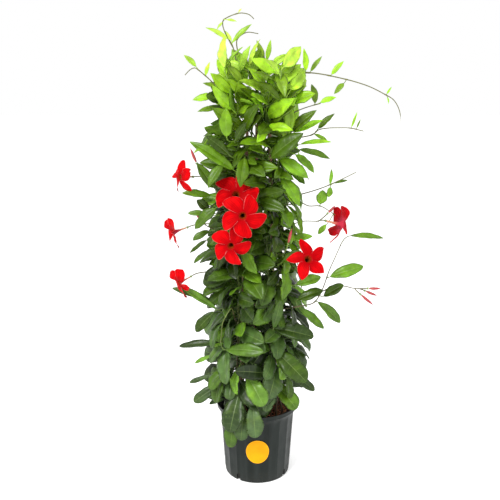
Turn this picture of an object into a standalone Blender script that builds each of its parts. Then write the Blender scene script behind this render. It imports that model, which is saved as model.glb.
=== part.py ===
"""Potted mandevilla: a red climbing plant on three bamboo canes in a fluted nursery pot.

Metres, +Z up. The origin is the middle of the pot's flat bottom, and -Y is the front.
"""
import math
import random

import bmesh
import bpy
import numpy as np
from mathutils import Matrix, Vector
from mathutils.bvhtree import BVHTree

# Pot
POT_HEIGHT = 0.214
RIM_RADIUS = 0.1175
RIM_HEIGHT = 0.012
RIM_LIP = (0.004, 0.002)
RIM_FLARE = 0.0012
NECK_HEIGHT = 0.187
BODY_RADIUS = 0.1065
BASE_RADIUS = 0.0945
BASE_BEVEL = 0.003
POT_WALL = 0.002
POT_FLOOR = 0.004
FLUTES = 20
FLUTE_DEPTH = 0.0012
STEPS_PER_FLUTE = 3
POT_STEPS = FLUTES * STEPS_PER_FLUTE
DRAIN_HOLES = 4
DRAIN_FIRST = math.radians(55)
DRAIN_SIZE = (0.030, 0.011, 0.044)
GAP = 0.0003
WELD_DISTANCE = 0.00001

# Label, a little taller than it is wide
LABEL_RADIUS = 0.0328
LABEL_RISE = 0.0362
LABEL_HEIGHT = 0.102
LABEL_THICKNESS = 0.0006
LABEL_LIFT = GAP + 0.0005
LABEL_STEPS = 16
LABEL_RINGS = (1.0, 0.6)

# Soil, with the depth that canes and stems reach into it
SOIL_EDGE = 0.176
SOIL_CROWN = 0.182
SOIL_CROWN_RADIUS = 0.075
SOIL_STEPS = 20
SOIL_GAP = 1.2 * GAP
CANE_DEPTH = 0.090
STEM_DEPTH = 0.050
HOLE_OVER = 0.010

# Canes
CANE_COUNT = 3
CANE_RADIUS = 0.0045
CANE_TOP = 1.000
CANE_FOOT_SPREAD = 0.060
CANE_TOP_SPREAD = 0.034
CANE_FIRST = math.radians(-25)
CANE_JOINTS = 3
CANE_JOINT_SHARE = 0.75
CANE_SIDES = 6
CANE_JOINT_WIDTH = 1.12
CANE_JOINT_REACH = 0.004
CANE_TOP_WIDTH = 0.85
HOLE_SIDES = 6

# Climbing stems, which twine up the canes
STEMS_PER_CANE = 4
STEM_FOOT_RADIUS = 0.0030
STEM_TIP_RADIUS = 0.0014
FOOT_OFFSET = 0.0155
FOOT_RISE = 0.006
TWINE_FOOT = SOIL_CROWN + 0.03
TWINE_RADIUS = 0.0125
TWINE_SWELL = 0.002
TWINE_SWELL_RATE = 2.3
TWINE_PITCH = 0.32
LOOSE_HEIGHT = 0.88
LOOSE_SPREAD = 0.23
TWINE_STEP = math.radians(72)
STEM_TOPS = (1.120, 1.055, 1.095, 1.020)
STEM_TIP_LEAN = 0.014
STEM_TIP_RISE = 0.030
SHOOT_RADIUS = 0.0012
SHOOT_TAPER = 0.6
SHOOT_STEP = 0.034
STALK_RADIUS = 0.0010
STALK_BACK = 0.020
STALK_DROP = Vector((0, 0, 0.012))
STALK_BEND = 0.4
STALK_LOWER = 0.6
STALK_UPPER = 0.7
ROOT_END = 0.02
STEM_APART = 0.005
APART_STEPS = 8

# Leaves
FIRST_PAIR = 0.232
LEAF_TOP = 1.11
YOUNG_HEIGHT = 1.0
PETIOLE_RADIUS = 0.0008
ROOT_RADIUS = 0.00045
MIDRIB_UP = 0.0004
MIDRIB_DOWN = 0.0010
NARROW_STATIONS = (0.45,)
BLADE_STATIONS = (0.33, 0.7)
WIDE_STATIONS = (0.2, 0.5, 0.8)
PLAIN_WIDTH = 0.0245
DETAILED_WIDTH = 0.0635
FOLD_RANGE = (6, 22)
TWIST_RANGE = (-22, 22)
WAVE_DEPTH = 0.035
WAVE_RANGE = (0.4, 1.4)
WAVE_RATE = 10
CLEARANCE = 0.0005
ROOT_CLEAR = 0.007
CROWN_CENTRE = Vector((-0.012, 0.0, 0.0))

# Drawn pairs: how often a leaf hangs or spreads, and for each habit the ranges of its extra drop
# in degrees, its petiole's length, its turn off the heading in degrees, and the petiole's rise
PAIR_SEED = 6000
PAIR_DRAWS = 40
PAIR_STAGGER = 0.031
PAIR_SHIFT = 0.0008
TOP_PAIR = 0.97
HANGING_SHARE = 0.24
SPREADING_SHARE = 0.38
HANGING = ((25, 50), (1.2, 3.2), (0, 50), 0.9)
SPREADING = ((0, 15), (1.0, 2.8), (60, 100), 0.25)
OUTWARD = ((0, 0), (0.9, 1.6), (15, 60), 0.25)
PITCH_RANGE = (-20, 20)
LENGTH_RANGE = (0.85, 1.15)
ROLL_RANGE = (-28, 28)
DROOP_RANGE = (-14, 14)
LEAST_DROOP = 6
TIP_RANGE = (0.82, 1.14)
PETIOLE_LEAN = 0.6
OUTWARD_FACE = 0.9
UPWARD_FACE = Vector((0, 0, 0.7))

# Placed leaves: how far each may move and turn until it stands clear, and the way it faces
PLACED_DRAWS = 80
NEAREST_DRAWS = 6
NEAREST_STEMS = 3
FOOT_BACK = 0.008
TIP_PLAY = 0.030
FACE_PLAY = 0.5
FACE_OUT = 0.25
FACE_WAY = Vector((0, -0.65, 0.70))
ARCH_RANGE = (16, 34)
ARCH_PLAY = 20

# Blooms and buds
FUNNEL = 0.050
THROAT_RADIUS = 0.011
PETALS = 5
PETAL_LENGTH = 0.049
PETAL_WIDTH = 0.0235
PETAL_SWELL = 0.95
PETAL_BLUNT = 0.36
PETAL_SKEW = 0.34
PETAL_TILT = 0.22
TILT_RISE = 2.5
PETAL_THICKNESS = 0.0008
TUBE_RADIUS = 0.0024
TUBE_GROWTH = 0.0006
FUNNEL_POWER = 3.2
FUNNEL_RINGS = (0.0, 0.62, 1.0)
PETAL_ROWS = (0.42, 0.84)
PETAL_CURL = 0.18
CALYX_SIDES = 5
CALYX_ROOT = 0.0015
CALYX_FOOT_RADIUS = 0.0016
CALYX_RADIUS = 0.0034
CALYX_HEIGHT = 0.006
BUD_SIDES = 5
BUD_RADIUS = 0.0036
BUD_FULL_LENGTH = 0.030
BUD_SLIM = 0.5
BUD_PROFILE = ((0.0, 0.5), (0.35, 1.0), (0.7, 0.75))


def mm(x, y, z):
    """A place in millimetres, as a vector in metres."""
    return Vector((x, y, z)) / 1000


# Long free shoots: places along each, from the crown outwards
SHOOTS = (
    # the tallest tip, which hooks over at its end
    (mm(-52, -30, 1153), mm(-62, -30, 1190), mm(-70, -30, 1207), mm(-86, -30, 1236),
     mm(-90, -30, 1258), mm(-80, -30, 1268), mm(-49, -30, 1279), mm(-24, -30, 1276), mm(-11, -30, 1265)),
    # a fine tip beside it
    (mm(-52, -32, 1180), mm(-54, -34, 1214), mm(-30, -36, 1232), mm(0, -38, 1229)),
    # the sprig at the left shoulder
    (mm(-107, -20, 1101), mm(-130, -20, 1121), mm(-148, -20, 1136), mm(-163, -20, 1146),
     mm(-176, -20, 1141), mm(-189, -20, 1128)),
    # the long runner to the right, which hangs over at its tip
    (mm(59, 0, 1130), mm(85, 0, 1134), mm(140, 0, 1134), mm(192, 0, 1126), mm(256, 0, 1111),
     mm(295, 0, 1098), mm(336, 0, 1078), mm(357, 0, 1065), mm(371, 0, 1044), mm(378, 0, 1021),
     mm(381, 0, 1003)),
    # the second runner, below it
    (mm(95, 0, 965), mm(143, 0, 974), mm(160, 0, 987), mm(185, 0, 992), mm(246, 0, 992), mm(281, 0, 984)),
    # the runner at mid height
    (mm(75, 0, 785), mm(117, 0, 791), mm(139, 0, 783), mm(169, 0, 783), mm(191, 0, 772), mm(212, 0, 758)),
    # the tendril above it
    (mm(80, 0, 800), mm(111, 0, 813), mm(149, 0, 824), mm(188, 0, 838), mm(233, 0, 859), mm(265, 0, 875)),
    # the flower stalk at the right, which carries the bloom seen from behind
    (mm(60, -30, 728), mm(106, -20, 740), mm(128, -10, 743), mm(166, -4, 741)),
    # the low shoot at the right
    (mm(60, -50, 505), mm(110, -58, 515), mm(150, -60, 525), mm(169, -50, 545), mm(182, -30, 565),
     mm(198, -10, 603), mm(214, 0, 637), mm(229, 0, 674)),
    # the stalk of the low buds
    (mm(176, -42, 553), mm(205, -35, 563), mm(237, -30, 565), mm(262, -30, 559), mm(290, -30, 557)),
    # the small shoot at the right shoulder
    (mm(70, -20, 1020), mm(110, -10, 1040), mm(148, 0, 1052), mm(165, 0, 1056)),
    # the pale shoot that arches down at the front left
    (mm(-60, -50, 470), mm(-72, -92, 520), mm(-92, -108, 490), mm(-100, -104, 430)),
)

# Leaves with a place of their own: foot of the blade, tip and full width
PLACED_LEAVES = (
    # on the tallest tip
    (mm(-50, -30, 1281), mm(-42, -30, 1290), 6),
    (mm(-90, -30, 1258), mm(-106, -30, 1238), 10),
    (mm(-76, -30, 1216), mm(-128, -30, 1246), 15),
    (mm(-66, -30, 1208), mm(-16, -30, 1253), 17),
    (mm(-68, -30, 1212), mm(-86, -24, 1238), 10),
    # on the left sprig
    (mm(-160, -20, 1149), mm(-191, -20, 1178), 16),
    (mm(-136, -20, 1127), mm(-124, -20, 1161), 14),
    (mm(-112, -22, 1100), mm(-143, -24, 1108), 14),
    # on the long runner and the right shoulder
    (mm(124, 0, 1139), mm(118, 0, 1196), 19),
    (mm(137, 0, 1138), mm(166, 0, 1176), 13),
    (mm(112, 0, 1128), mm(120, -4, 1092), 22),
    (mm(192, 0, 1130), mm(223, 0, 1164), 16),
    (mm(225, 0, 1108), mm(200, 0, 1080), 16),
    (mm(338, 0, 1080), mm(350, 0, 1099), 6),
    (mm(340, 0, 1073), mm(344, 0, 1055), 6),
    # on the second runner
    (mm(160, 0, 991), mm(203, 0, 1030), 20),
    (mm(150, 0, 976), mm(186, 0, 958), 14),
    (mm(248, 0, 994), mm(262, 0, 1034), 7),
    (mm(262, 0, 992), mm(272, 0, 1016), 5),
    # on the runner at mid height
    (mm(170, 0, 788), mm(176, -2, 827), 34),
    # on the tendril above it
    (mm(195, 0, 842), mm(198, 0, 884), 12),
    (mm(205, 0, 845), mm(243, 0, 853), 10),
    (mm(196, -4, 835), mm(191, -6, 808), 18),
    # on the flower stalk and the low shoot
    (mm(188, -2, 732), mm(166, 0, 705), 16),
    (mm(255, 0, 700), mm(347, 0, 693), 21),
    (mm(198, -30, 591), mm(289, -30, 621), 37),
    (mm(180, -45, 540), mm(234, -45, 573), 30),
    (mm(163, -60, 529), mm(227, -55, 468), 32),
    # left edge, from the top down
    (mm(-112, -30, 1075), mm(-170, -30, 1065), 25),
    (mm(-108, 0, 1045), mm(-160, 0, 1035), 22),
    (mm(-62, -90, 890), mm(-176, -76, 962), 36),
    (mm(-74, -100, 930), mm(-132, -104, 978), 30),
    (mm(-92, -98, 905), mm(-128, -122, 850), 34),
    (mm(-125, -30, 815), mm(-202, -38, 824), 25),
    (mm(-115, -70, 842), mm(-158, -80, 908), 30),
    (mm(-129, -70, 784), mm(-160, -75, 811), 26),
    (mm(-135, -74, 773), mm(-184, -74, 776), 18),
    (mm(-109, -100, 794), mm(-164, -100, 739), 40),
    (mm(-137, -50, 699), mm(-183, -50, 663), 15),
    (mm(-132, -50, 671), mm(-173, -50, 635), 15),
    (mm(-112, -52, 505), mm(-220, -42, 556), 22),
    (mm(-120, -4, 508), mm(-240, 8, 548), 22),
    (mm(-105, -60, 412), mm(-218, -52, 398), 26),
    (mm(-120, -42, 370), mm(-176, -40, 343), 14),
    (mm(-120, -42, 310), mm(-192, -40, 284), 16),
    (mm(-100, -62, 290), mm(-178, -72, 240), 34),
    # the crown
    (mm(-80, -98, 975), mm(-80, -104, 1048), 36),
    (mm(-58, -106, 968), mm(-30, -122, 1012), 24),
    (mm(-45, -46, 1138), mm(-20, -52, 1200), 26),
    (mm(-80, -58, 1122), mm(-92, -62, 1182), 36),
    (mm(-42, -70, 1112), mm(-78, -84, 1150), 28),
    (mm(-22, -40, 1115), mm(16, -34, 1174), 32),
    (mm(46, -58, 1140), mm(66, -108, 1072), 35),
    (mm(36, -20, 1150), mm(76, -20, 1180), 22),
    (mm(14, -20, 1160), mm(-6, -18, 1214), 17),
    (mm(22, -22, 1165), mm(32, -22, 1216), 14),
    (mm(14, -42, 1160), mm(20, -74, 1130), 22),
    # right edge, from the top down
    (mm(92, -32, 1058), mm(146, -52, 1082), 38),
    (mm(150, 0, 1056), mm(140, 2, 1106), 22),
    (mm(164, 0, 1058), mm(206, 0, 1072), 19),
    (mm(88, -42, 985), mm(150, -54, 1040), 32),
    (mm(96, -16, 982), mm(170, -22, 1014), 22),
    (mm(80, -62, 985), mm(76, -66, 1064), 32),
    (mm(32, -90, 922), mm(112, -122, 986), 52),
    (mm(112, -10, 950), mm(196, -12, 956), 16),
    (mm(108, -30, 938), mm(190, -34, 914), 22),
    (mm(98, -42, 926), mm(146, -62, 880), 28),
    (mm(55, -74, 918), mm(126, -104, 872), 38),
    (mm(82, -52, 700), mm(146, -56, 710), 22),
    (mm(62, -98, 648), mm(112, -122, 682), 26),
    # the lower front
    (mm(42, -108, 470), mm(60, -132, 555), 28),
    (mm(-88, -98, 405), mm(14, -150, 420), 38),
    (mm(42, -88, 330), mm(-60, -142, 362), 46),
    (mm(46, -88, 400), mm(130, -130, 326), 58),
    (mm(92, -52, 318), mm(160, -62, 270), 28),
    (mm(42, -80, 460), mm(150, -104, 444), 54),
    # over the pot's rim
    (mm(-50, -92, 282), mm(-76, -146, 186), 66),
    (mm(-36, -108, 240), mm(-46, -150, 164), 46),
    (mm(-14, -108, 256), mm(-6, -150, 172), 50),
    (mm(-64, -102, 232), mm(-74, -144, 140), 42),
    (mm(-34, -72, 280), mm(-2, -118, 226), 50),
    (mm(30, -60, 300), mm(22, -112, 230), 46),
    (mm(46, -52, 290), mm(108, -92, 228), 50),
    (mm(-92, -52, 240), mm(-136, -54, 226), 17),
    # at the edges, among those above
    (mm(-80, -36, 1263), mm(-54, -40, 1258), 10),
    (mm(-128, -72, 728), mm(-172, -78, 704), 22),
    (mm(-118, -56, 500), mm(-170, -62, 444), 34),
    (mm(104, -62, 578), mm(170, -64, 600), 30),
    (mm(108, -72, 540), mm(175, -76, 567), 34),
    (mm(112, -44, 508), mm(184, -42, 446), 30),
)

# Blooms: middle of the throat, way it faces, size, lift of the petals, turn about its axis and
# how broad the petals are
BLOOMS = (
    (mm(-207, -34, 866), Vector((-0.80, -0.58, 0.05)), 0.76, -0.10, 10, 0.80),
    (mm(-228, -30, 716), Vector((-0.88, -0.40, -0.25)), 0.76, 0.35, 50, 0.95),
    (mm(-214, -52, 580), Vector((-0.76, -0.55, -0.30)), 0.74, 0.05, 50, 0.85),
    (mm(-57, -102, 830), Vector((-0.10, -0.88, 0.46)), 0.98, 0.40, -23, 1.0),
    (mm(-39, -182, 788), Vector((0.02, -1.0, 0.10)), 0.93, 0.12, -28, 0.95),
    (mm(-70, -156, 706), Vector((-0.12, -0.98, -0.06)), 0.84, 0.05, 54, 0.95),
    (mm(129, -130, 666), Vector((0.16, -0.86, 0.42)), 0.94, -0.05, 16, 0.62),
    (mm(230, 4, 730), Vector((0.92, 0.26, -0.28)), 0.92, -0.10, 25, 0.85),
)

# Buds: foot and tip
BUDS = (
    (mm(-163, -30, 905), mm(-178, -32, 942)),
    (mm(-146, -30, 796), mm(-162, -34, 806)),
    (mm(-150, -60, 756), mm(-166, -66, 778)),
    (mm(192, -12, 767), mm(210, -12, 786)),
    (mm(79, -100, 703), mm(88, -103, 742)),
    (mm(307, -30, 558), mm(340, -30, 558)),
    (mm(286, -34, 540), mm(320, -36, 512)),
    (mm(300, -22, 548), mm(332, -20, 534)),
)

# Heights of the crown and how far leaf tips reach from its middle there
CROWN_HEIGHTS = (0.20, 0.35, 0.55, 0.80, 1.00, 1.10, 1.20)
CROWN_REACH = (0.132, 0.146, 0.146, 0.142, 0.144, 0.144, 0.118)

# How leaves change up the plant: fraction of the height, then the value there
LEVELS = (0.0, 0.3, 0.75, 0.92, 1.0)
LEAF_LENGTHS = (0.098, 0.104, 0.100, 0.088, 0.074)
LEAF_RATIOS = (0.60, 0.53, 0.44, 0.43, 0.46)
LEAF_PITCHES = (-12.0, -8.0, 8.0, 28.0, 48.0)
LEAF_DROOPS = (40.0, 44.0, 38.0, 24.0, 14.0)
FOOT_POWERS = (0.95, 0.80, 0.75, 0.75, 0.75)
TIP_POWERS = (0.50, 0.64, 0.85, 1.00, 1.00)
PETIOLES = (0.020, 0.018, 0.015, 0.012, 0.007)
PAIR_SPACINGS = (0.121, 0.121, 0.101, 0.067, 0.047)


def at_level(values, height):
    """A leaf value at a height on the plant."""
    level = (height - FIRST_PAIR) / (LEAF_TOP - FIRST_PAIR)
    return float(np.interp(level, LEVELS, values))


def part_against(vector, direction):
    """The share of a vector that stands square to a direction, at length 1."""
    return (vector - direction * vector.dot(direction)).normalized()


class Leaf:
    """A leaf: a petiole from its root to the foot of a blade that arches and waves."""

    def __init__(self, root, foot, aim, face, length, width, droop, rng):
        self.root = root
        self.foot = foot
        self.aim = aim
        self.face = face
        self.length = length
        self.width = width
        self.foot_power = at_level(FOOT_POWERS, foot.z)
        self.tip_power = at_level(TIP_POWERS, foot.z)
        self.droop = droop
        self.fold = math.radians(rng.uniform(*FOLD_RANGE))
        self.twist = math.radians(rng.uniform(*TWIST_RANGE))
        self.wave = WAVE_DEPTH * width * rng.uniform(*WAVE_RANGE)
        self.phase = rng.uniform(0, math.tau)
        self.stations = BLADE_STATIONS
        if width > DETAILED_WIDTH:
            self.stations = WIDE_STATIONS
        elif width < PLAIN_WIDTH:
            self.stations = NARROW_STATIONS

    def half_width(self, s):
        """Half the blade's width at a fraction s of its length."""
        peak = self.foot_power / (self.foot_power + self.tip_power)
        top = peak ** self.foot_power * (1 - peak) ** self.tip_power
        return 0.5 * self.width * s ** self.foot_power * (1 - s) ** self.tip_power / top

    def station(self, s):
        """The midrib's place at a fraction s, with the ways across and up from it."""
        turn = self.droop * s
        run = self.aim * math.sin(turn) - self.face * (1 - math.cos(turn))
        place = self.foot + run * (self.length / self.droop)
        along = self.aim * math.cos(turn) - self.face * math.sin(turn)
        up = self.face * math.cos(turn) + self.aim * math.sin(turn)
        side = along.cross(up)
        twist = self.twist * s
        across = side * math.cos(twist) + up * math.sin(twist)
        up = up * math.cos(twist) - side * math.sin(twist)
        return place, across, up

    def edge(self, s, side, more=0.0):
        """The blade's edge at a fraction s, on the side -1 or 1."""
        place, across, up = self.station(s)
        half = self.half_width(s)
        ripple = self.wave * math.sin(WAVE_RATE * s + self.phase + side) * half / (0.5 * self.width)
        lift = half * math.sin(self.fold) + ripple
        return place + across * side * (half * math.cos(self.fold) + more) + up * lift

    def solid(self, swell=0.0, root_at=0.0):
        """Points and triangles of the leaf, swollen on all sides by a margin."""
        stalk = self.foot - self.root
        root = self.root + stalk.normalized() * min(root_at, stalk.length / 2)
        stalk_across = stalk.cross(self.face).normalized()
        stalk_up = stalk_across.cross(stalk).normalized()
        points = []
        for place, radius in ((root, ROOT_RADIUS + swell), (self.foot, PETIOLE_RADIUS + swell)):
            points.append(place - stalk_across * radius + stalk_up * radius / 2)
            points.append(place + stalk_across * radius + stalk_up * radius / 2)
            points.append(place - stalk_up * radius)
        faces = [(0, 2, 1)]
        for i in range(3):
            j = (i + 1) % 3
            faces.append((i, j, 3 + j, 3 + i))
        for s in self.stations:
            place, across, up = self.station(s)
            points.append(self.edge(s, -1, swell))
            points.append(place + up * (MIDRIB_UP + swell))
            points.append(self.edge(s, 1, swell))
            points.append(place - up * (MIDRIB_DOWN + swell))
        faces += [(3, 4, 7), (3, 7, 6), (4, 8, 7), (4, 5, 9), (4, 9, 8), (5, 3, 9), (3, 6, 9)]
        for k in range(len(self.stations) - 1):
            left, top, right, under = range(6 + 4 * k, 10 + 4 * k)
            for a, b in ((left, top), (right, top), (right, under), (left, under)):
                faces += [(a, b, b + 4), (a, b + 4, a + 4)]
        place, across, up = self.station(1.0)
        last = len(points)
        points.append(place + (place - points[last - 3]).normalized() * swell)
        for i in range(4):
            faces.append((last - 4 + i, last - 4 + (i + 1) % 4, last))
        return points, faces


class Crowd:
    """The solids placed so far, which a new leaf has to stay clear of."""

    def __init__(self):
        self.solids = []

    def add(self, points, faces, owner=None):
        """Add a solid with its box, and the stem that owns it if it is a tube."""
        box = np.array(points)
        tree = BVHTree.FromPolygons(points, faces)
        self.solids.append((box.min(axis=0), box.max(axis=0), tree, owner))

    def add_object(self, thing, owner=None):
        """Add an object as it stands, with its modifiers."""
        mesh = evaluated_mesh(thing)
        points = [thing.matrix_world @ v.co for v in mesh.vertices]
        self.add(points, [tuple(p.vertices) for p in mesh.polygons], owner)
        bpy.data.meshes.remove(mesh)

    def blocks(self, points, faces, stem):
        """Whether a solid would cut any of those placed, other than its own stem."""
        box = np.array(points)
        low = box.min(axis=0)
        high = box.max(axis=0)
        tree = None
        for other_low, other_high, other, owner in self.solids:
            if owner is not None and owner == stem:
                continue
            if (low < other_high).all() and (other_low < high).all():
                tree = tree or BVHTree.FromPolygons(points, faces)
                if tree.overlap(other):
                    return True
        return False

    def take(self, leaf, stem=None):
        """Place a leaf if it stands clear, and say whether it does."""
        points, faces = leaf.solid(CLEARANCE, ROOT_CLEAR)
        if self.blocks(points, faces, stem):
            return False
        self.add(*leaf.solid())
        return True


def cane_axis(cane, height):
    """The middle of a cane at a height: the canes lean in towards each other."""
    turn = CANE_FIRST + cane * math.tau / CANE_COUNT
    rise = (height - SOIL_EDGE) / (CANE_TOP - SOIL_EDGE)
    spread = CANE_FOOT_SPREAD + (CANE_TOP_SPREAD - CANE_FOOT_SPREAD) * rise
    return Vector((spread * math.cos(turn), spread * math.sin(turn), height))


def stem_route(number):
    """The line of a climbing stem, from its foot in the soil to its tip."""
    cane = number // STEMS_PER_CANE
    place = number % STEMS_PER_CANE
    first = place * math.tau / STEMS_PER_CANE + cane
    top = STEM_TOPS[(place + cane) % STEMS_PER_CANE]
    foot = cane_axis(cane, SOIL_CROWN)
    foot += Vector((math.cos(first), math.sin(first), 0)) * FOOT_OFFSET
    route = [Vector((foot.x, foot.y, height)) for height in (SOIL_EDGE - STEM_DEPTH, SOIL_CROWN + FOOT_RISE)]
    turn = 0.0
    while True:
        height = TWINE_FOOT + turn / math.tau * TWINE_PITCH
        if height > top:
            break
        radius = TWINE_RADIUS + TWINE_SWELL * (1 + math.sin(TWINE_SWELL_RATE * turn + number))
        radius += LOOSE_SPREAD * max(0.0, height - LOOSE_HEIGHT)
        offset = Vector((math.cos(first + turn), math.sin(first + turn), 0)) * radius
        route.append(cane_axis(cane, height) + offset)
        turn += TWINE_STEP
    lean = Vector((route[-1].x, route[-1].y, 0)).normalized()
    route.append(route[-1] + lean * STEM_TIP_LEAN + Vector((0, 0, STEM_TIP_RISE)))
    return route


def smooth_route(places, step):
    """Points a step apart on a smooth curve through a few places."""
    ends = [places[0] * 2 - places[1]] + list(places) + [places[-1] * 2 - places[-2]]
    route = [places[0]]
    for before, a, b, after in zip(ends, ends[1:], ends[2:], ends[3:]):
        count = max(1, round((b - a).length / step))
        for k in range(1, count + 1):
            t = k / count
            route.append(0.5 * (2 * a + (b - before) * t + (2 * before - 5 * a + 4 * b - after) * t * t
                                + (3 * a - before - 3 * b + after) * t * t * t))
    return route


class Plant:
    """The climbing stems with what grows from each: tubes, leaves, and seats for blooms and buds."""

    def __init__(self, crowd):
        self.crowd = crowd
        self.routes = [stem_route(i) for i in range(CANE_COUNT * STEMS_PER_CANE)]
        self.lines = [(i, route[2:]) for i, route in enumerate(self.routes)]
        self.tubes = [[] for _ in self.routes]
        self.leaves = [[] for _ in self.routes]
        self.calyxes = [[] for _ in self.routes]

    def roots(self, place):
        """The nearest point to a place on each stem and its shoots, nearest first."""
        best = {}
        for stem, line in self.lines:
            for a, b in zip(line, line[1:]):
                t = (place - a).dot(b - a) / (b - a).length_squared
                point = a.lerp(b, min(max(t, ROOT_END), 1 - ROOT_END))
                distance = (point - place).length
                if stem not in best or distance < best[stem][0]:
                    best[stem] = (distance, stem, point)
        return sorted(best.values(), key=lambda found: found[:2])

    def free_root(self, place):
        """The nearest root from which a straight way to a place meets no other stem."""
        found = self.roots(place)
        for _, stem, root in found:
            steps = [root.lerp(place, k / APART_STEPS) for k in range(APART_STEPS + 1)]
            others = [self.roots(step) for step in steps]
            if all(near[0] > STEM_APART for other in others for near in other if near[1] != stem):
                return root, stem
        return found[0][2], found[0][1]

    def grow_shoot(self, places):
        """A free shoot, rooted in a stem near its first place."""
        root, stem = self.free_root(places[0])
        route = smooth_route([root] + list(places), SHOOT_STEP)
        self.tubes[stem].append((route, SHOOT_RADIUS, SHOOT_RADIUS * SHOOT_TAPER))
        self.lines.append((stem, route))

    def grow_stalk(self, foot, facing):
        """A flower stalk to the foot of a bloom or bud, with its calyx."""
        seat = foot - facing * (CALYX_HEIGHT + GAP)
        root, stem = self.free_root(seat - facing * STALK_BACK - STALK_DROP)
        bend = seat - facing * STALK_BEND * (seat - root).length
        places = [root, root.lerp(bend, STALK_LOWER), bend.lerp(seat, STALK_UPPER), seat]
        route = smooth_route(places, SHOOT_STEP)
        self.tubes[stem].append((route, STALK_RADIUS, STALK_RADIUS))
        self.calyxes[stem].append((seat, facing))

    def place_leaf(self, number, foot, tip, width):
        """A leaf with a foot and tip of its own, turned a little until it stands clear."""
        rng = random.Random(number)
        near = self.roots(foot - (tip - foot).normalized() * FOOT_BACK)
        out = Vector((foot.x, foot.y, 0)).normalized()
        for draw in range(PLACED_DRAWS):
            loose = draw / PLACED_DRAWS
            _, stem, root = near[0 if draw < NEAREST_DRAWS else draw % NEAREST_STEMS]
            end = tip + Vector([rng.uniform(-1, 1) for _ in range(3)]) * TIP_PLAY * loose
            droop = math.radians(rng.uniform(*ARCH_RANGE) + ARCH_PLAY * loose * rng.random())
            chord = (end - foot).normalized()
            sway = Vector([rng.uniform(-1, 1) for _ in range(3)]) * FACE_PLAY * loose
            face = part_against(out * FACE_OUT + FACE_WAY + sway, chord)
            aim = chord * math.cos(droop / 2) + face * math.sin(droop / 2)
            up = face * math.cos(droop / 2) - chord * math.sin(droop / 2)
            length = (end - foot).length * (droop / 2) / math.sin(droop / 2)
            leaf = Leaf(root, foot, aim, up, length, width / 1000, droop, rng)
            if self.crowd.take(leaf, stem):
                self.leaves[stem].append(leaf)
                break

    def draw_leaf(self, root, heading, side, rng):
        """One drawn leaf of a pair, which hangs, spreads along the crown or points outwards."""
        habit = rng.random()
        drop, reach, turn, rise = OUTWARD
        if root.z < YOUNG_HEIGHT and habit < HANGING_SHARE:
            drop, reach, turn, rise = HANGING
        elif habit < HANGING_SHARE + SPREADING_SHARE:
            drop, reach, turn, rise = SPREADING
        pitch = math.radians(at_level(LEAF_PITCHES, root.z) + rng.uniform(*PITCH_RANGE) - rng.uniform(*drop))
        turn = heading + side * math.radians(rng.uniform(*turn))
        outward = Vector((math.cos(heading), math.sin(heading), 0))
        aim = Vector((math.cos(turn) * math.cos(pitch), math.sin(turn) * math.cos(pitch), math.sin(pitch)))
        stalk = (aim + outward * rise * PETIOLE_LEAN + Vector((0, 0, rise))).normalized()
        foot = root + stalk * at_level(PETIOLES, root.z) * rng.uniform(*reach)
        face = part_against(UPWARD_FACE + outward * OUTWARD_FACE, aim)
        roll = math.radians(rng.uniform(*ROLL_RANGE))
        face = face * math.cos(roll) + aim.cross(face) * math.sin(roll)
        length = at_level(LEAF_LENGTHS, root.z) * rng.uniform(*LENGTH_RANGE)
        width = length * at_level(LEAF_RATIOS, root.z)
        droop = math.radians(max(LEAST_DROOP, at_level(LEAF_DROOPS, root.z) + rng.uniform(*DROOP_RANGE)))
        leaf = Leaf(root, foot, aim, face, length, width, droop, rng)
        tip = leaf.station(1.0)[0] - CROWN_CENTRE
        crown = float(np.interp(tip.z, CROWN_HEIGHTS, CROWN_REACH)) * rng.uniform(*TIP_RANGE)
        return leaf if math.hypot(tip.x, tip.y) < crown and tip.z > POT_HEIGHT else None

    def pair_roots(self):
        """Where the pairs stand on the climbing stems, from the lowest up, each with its stem."""
        starts = []
        for stem, route in enumerate(self.routes):
            distance = (stem * PAIR_STAGGER) % at_level(PAIR_SPACINGS, FIRST_PAIR)
            walked = 0.0
            for a, b in zip(route[2:], route[3:]):
                piece = (b - a).length
                while distance < walked + piece:
                    root = a.lerp(b, (distance - walked) / piece)
                    if root.z > FIRST_PAIR:
                        starts.append((stem, root))
                    distance += at_level(PAIR_SPACINGS, root.z)
                walked += piece
            starts.append((stem, route[-2].lerp(route[-1], TOP_PAIR)))
        return sorted(starts, key=lambda start: (start[1].z, start[0]))

    def grow_pairs(self):
        """Opposite pairs up every stem, each leaf redrawn until it stands clear."""
        for number, (stem, root) in enumerate(self.pair_roots()):
            heading = math.atan2(root.y - CROWN_CENTRE.y, root.x - CROWN_CENTRE.x)
            for side in (-1, 1):
                rng = random.Random(PAIR_SEED + 2 * number + max(side, 0))
                for _ in range(PAIR_DRAWS):
                    leaf = self.draw_leaf(root + Vector((0, 0, side * PAIR_SHIFT)), heading, side, rng)
                    if leaf and self.crowd.take(leaf):
                        self.leaves[stem].append(leaf)
                        break


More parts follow.
